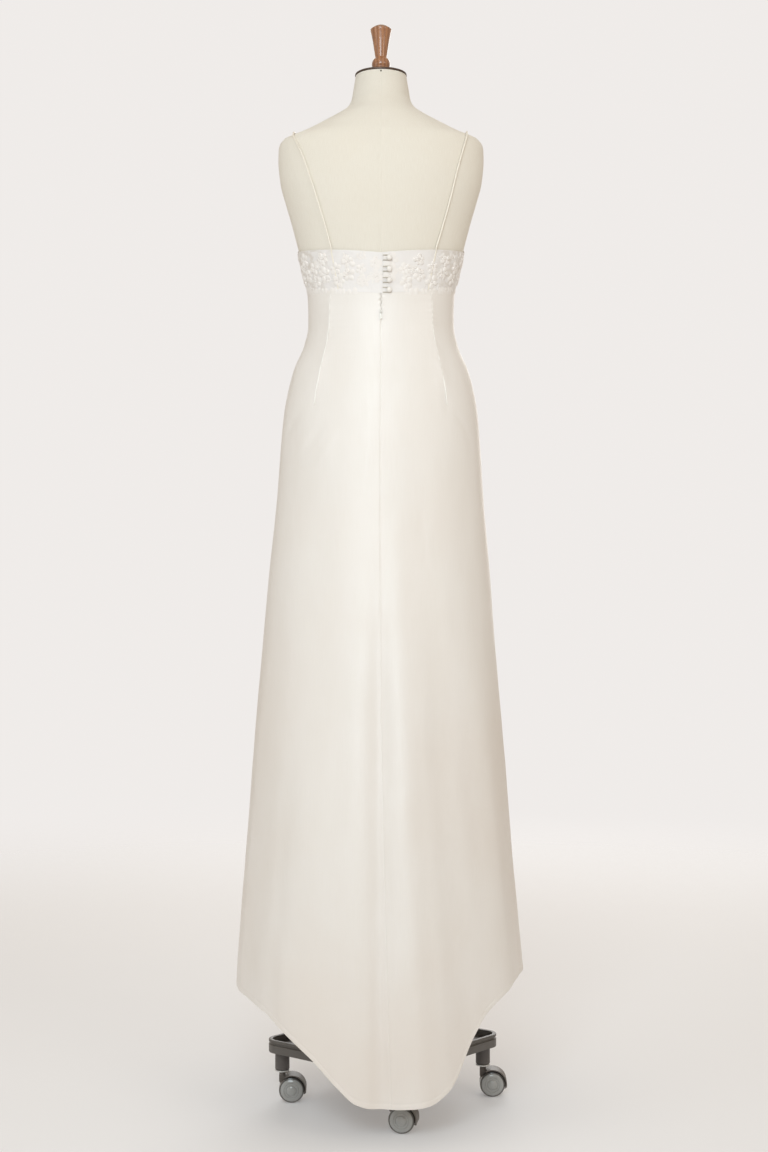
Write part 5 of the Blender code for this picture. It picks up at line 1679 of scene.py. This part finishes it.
AXLE_HEIGHT = 0.022068
TRAIL = 0.0165
WASHER_HEIGHT = 0.0524
WASHER_RING = (
    (0.0108, 0.0000), (0.0121, 0.0000), (0.0125, 0.0004), (0.0125, 0.0018), (0.0121, 0.0022),
    (0.0108, 0.0022), (0.0108, 0.0000),
)


def make_wheels():
    """Two domed wheels on each axle, with ridges round each disc and a rounded tread."""
    inner, outer = 0.0036, 0.0176
    half = (
        (0.0030, inner), (0.0190, inner), (AXLE_HEIGHT - 0.0008, inner + 0.0006),
        (AXLE_HEIGHT, inner + 0.0024), (AXLE_HEIGHT, outer - 0.0045),
        (AXLE_HEIGHT - 0.0005, outer - 0.0028), (0.0209, outer - 0.0016),
        (0.0201, outer - 0.0012), (0.0196, outer - 0.0018), (0.0190, outer - 0.0012),
        (0.0176, outer - 0.0003), (0.0150, outer + 0.0006), (0.0133, outer + 0.0010),
        (0.0128, outer + 0.0004), (0.0122, outer + 0.0011), (0.0098, outer + 0.0015),
        (0.0092, outer + 0.0009), (0.0086, outer + 0.0014), (0.0076, outer + 0.0022),
        (0.0062, outer + 0.0029), (0.0045, outer + 0.0035), (0.0024, outer + 0.0039),
        (0.0, outer + 0.0040),
    )
    profile = [(radius, -along) for radius, along in half[::-1]] + list(half)
    for number in range(4):
        spot = around(BASE_CENTRE, CASTOR_RADIUS, CORNERS[number])
        stand = Matrix.Translation((spot[0] + POLE[0], spot[1] + POLE[1], AXLE_HEIGHT))
        stand = stand @ Matrix.Rotation(math.radians(TRAIL_WAY[number] - 180.0), 4, "Z")
        place = stand @ Matrix.Translation((-TRAIL, 0, 0)) @ Matrix.Rotation(math.pi / 2, 4, "X")
        name = f"castor_{number + 1}_wheels"
        piece = lathe("ridged_" + name, profile, 56, WHEEL, place, name, 28.0)
        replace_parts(piece, name)
        foot = Matrix.Translation((spot[0] + POLE[0], spot[1] + POLE[1], WASHER_HEIGHT))
        lathe(f"castor_{number + 1}_washer", WASHER_RING, 32, WASHER, foot,
              f"castor_{number + 1}_fork")


def paint_kept_nodes():
    """The CAD pieces whose own shape stays take their finishes."""
    finishes = {"base_deck": SOCKET, "zip_slider": ZIP_METAL, "zip_pull": ZIP_METAL}
    for number in range(1, 5):
        finishes[f"castor_{number}_socket"] = SOCKET
        finishes[f"castor_{number}_fork"] = HOOD
    for name, material in finishes.items():
        piece = bpy.data.objects[name]
        for index in range(max(1, len(piece.material_slots))):
            if piece.material_slots:
                piece.material_slots[index].material = material
            else:
                piece.data.materials.append(material)


# ---------------------------------------------------------------- the studio

FLOOR_RADIUS, FLOOR_FADE, FLOOR_SIDES = 4.0, 1.5, 96


def floor_finish():
    """Pale floor paper, which fades away into the studio's light from a radius onwards."""
    # Its faint glow is painted light: it lifts the floor's shadows and lights the dress a little from
    # below.
    finish = Finish("studio floor", 0.9, Specular_IOR_Level=0.1, Emission_Strength=0.18)
    finish.set("Base Color", (0.66, 0.665, 0.68, 1))
    finish.set("Emission Color", (1.0, 0.955, 0.92, 1))
    g = finish.graph
    away = g.add("VectorMath", {"operation": "LENGTH"}, i0=finish.place).outputs["Value"]
    faded = g.add("MapRange", {"interpolation_type": "SMOOTHSTEP"}, Value=away,
                  From_Min=FLOOR_FADE, From_Max=FLOOR_RADIUS - 0.1)
    clear = g.add("BsdfTransparent")
    mixed = g.add("MixShader", None, i0=faded.outputs["Result"], i1=finish.shader.outputs[0],
                  i2=clear.outputs[0])
    output = finish.material.node_tree.nodes["Material Output"]
    finish.graph.tree.links.new(mixed.outputs[0], output.inputs["Surface"])
    return finish.material


def make_stage():
    turns = np.linspace(0.0, 2 * math.pi, FLOOR_SIDES + 1)[:-1]
    rim = [(FLOOR_RADIUS * math.cos(a), FLOOR_RADIUS * math.sin(a), 0.0) for a in turns]
    mesh = bpy.data.meshes.new("floor")
    mesh.from_pydata(rim, [], [range(len(rim))])
    mesh.materials.append(floor_finish())
    piece = bpy.data.objects.new("floor", mesh)
    bpy.context.scene.collection.objects.link(piece)


Lamp = namedtuple("Lamp", "name place target size power colour spread")

WHITE, COOL, WARM = (1.0, 1.0, 1.0), (0.80, 0.92, 1.0), (1.0, 0.94, 0.86)
LAMPS = (
    Lamp("key", (0.45, 3.2, 2.35), (0.0, 0.0, 1.25), (1.4, 1.4), 21.5, COOL, 110.0),
    Lamp("top", (0.0, 2.4, 4.4), (0.0, -0.1, 0.1), (3.4, 2.4), 9.0, WHITE, 180.0),
    Lamp("left fill", (3.0, 1.6, 1.3), (0.0, 0.0, 0.8), (1.4, 2.6), 11.5, COOL, 180.0),
    Lamp("right fill", (-2.2, 2.4, 2.4), (0.0, 0.0, 1.4), (1.4, 1.4), 4.5, WARM, 100.0),
    Lamp("front fill", (-0.7, -4.4, 2.4), (0.0, 0.0, 0.9), (3.2, 3.2), 85.0, WHITE, 180.0),
)
BOUNCED, BOUNCED_STRENGTH = (1.0, 0.885, 0.75, 1), 0.565  # what lights the object all round
BACKDROP = (0.868, 0.838, 0.817, 1)                       # what shows behind it


def make_lamp(lamp):
    data = bpy.data.lights.new(lamp.name, "AREA")
    data.spread = math.radians(lamp.spread)
    data.shape = "RECTANGLE"
    data.size, data.size_y = lamp.size
    data.energy = lamp.power
    data.color = lamp.colour
    light = bpy.data.objects.new(lamp.name, data)
    light.location = lamp.place
    aim = Vector(lamp.target) - Vector(lamp.place)
    light.rotation_euler = aim.to_track_quat("-Z", "Y").to_euler()
    light.visible_camera = False
    bpy.context.scene.collection.objects.link(light)


def make_lights():
    for lamp in LAMPS:
        make_lamp(lamp)
    world = bpy.data.worlds.new("studio")
    world.use_nodes = True
    g = Graph(world.node_tree)
    background = world.node_tree.nodes["Background"]
    background.inputs["Color"].default_value = BOUNCED
    background.inputs["Strength"].default_value = BOUNCED_STRENGTH
    seen = g.add("Background", None, Color=BACKDROP, Strength=1.0)
    by_camera = g.add("LightPath").outputs["Is Camera Ray"]
    mixed = g.add("MixShader", None, i0=by_camera, i1=background.outputs[0], i2=seen.outputs[0])
    output = world.node_tree.nodes["World Output"]
    world.node_tree.links.new(mixed.outputs[0], output.inputs["Surface"])
    bpy.context.scene.world = world


CAMERA_PLACE = (0.0, 2.8665, 0.891)
SENSOR_HEIGHT, FOCAL_LENGTH = 36.0, 51.5625
SHIFT = (0.0026, 0.0113)


def make_camera():
    lens = bpy.data.cameras.new("camera")
    lens.sensor_fit = "VERTICAL"
    lens.sensor_height = SENSOR_HEIGHT
    lens.lens = FOCAL_LENGTH
    lens.shift_x, lens.shift_y = SHIFT
    camera = bpy.data.objects.new("camera", lens)
    camera.location = CAMERA_PLACE
    camera.rotation_euler = (math.radians(90), 0.0, math.radians(180))
    bpy.context.scene.collection.objects.link(camera)
    bpy.context.scene.camera = camera


make_skirt(make_zip())
make_bodice(*make_buttons())
make_straps()
make_form()
make_neck()
make_base()
make_pole()
make_wheels()
paint_kept_nodes()
make_stage()
make_lights()
make_camera()
bpy.context.scene.view_settings.view_transform = "Standard"
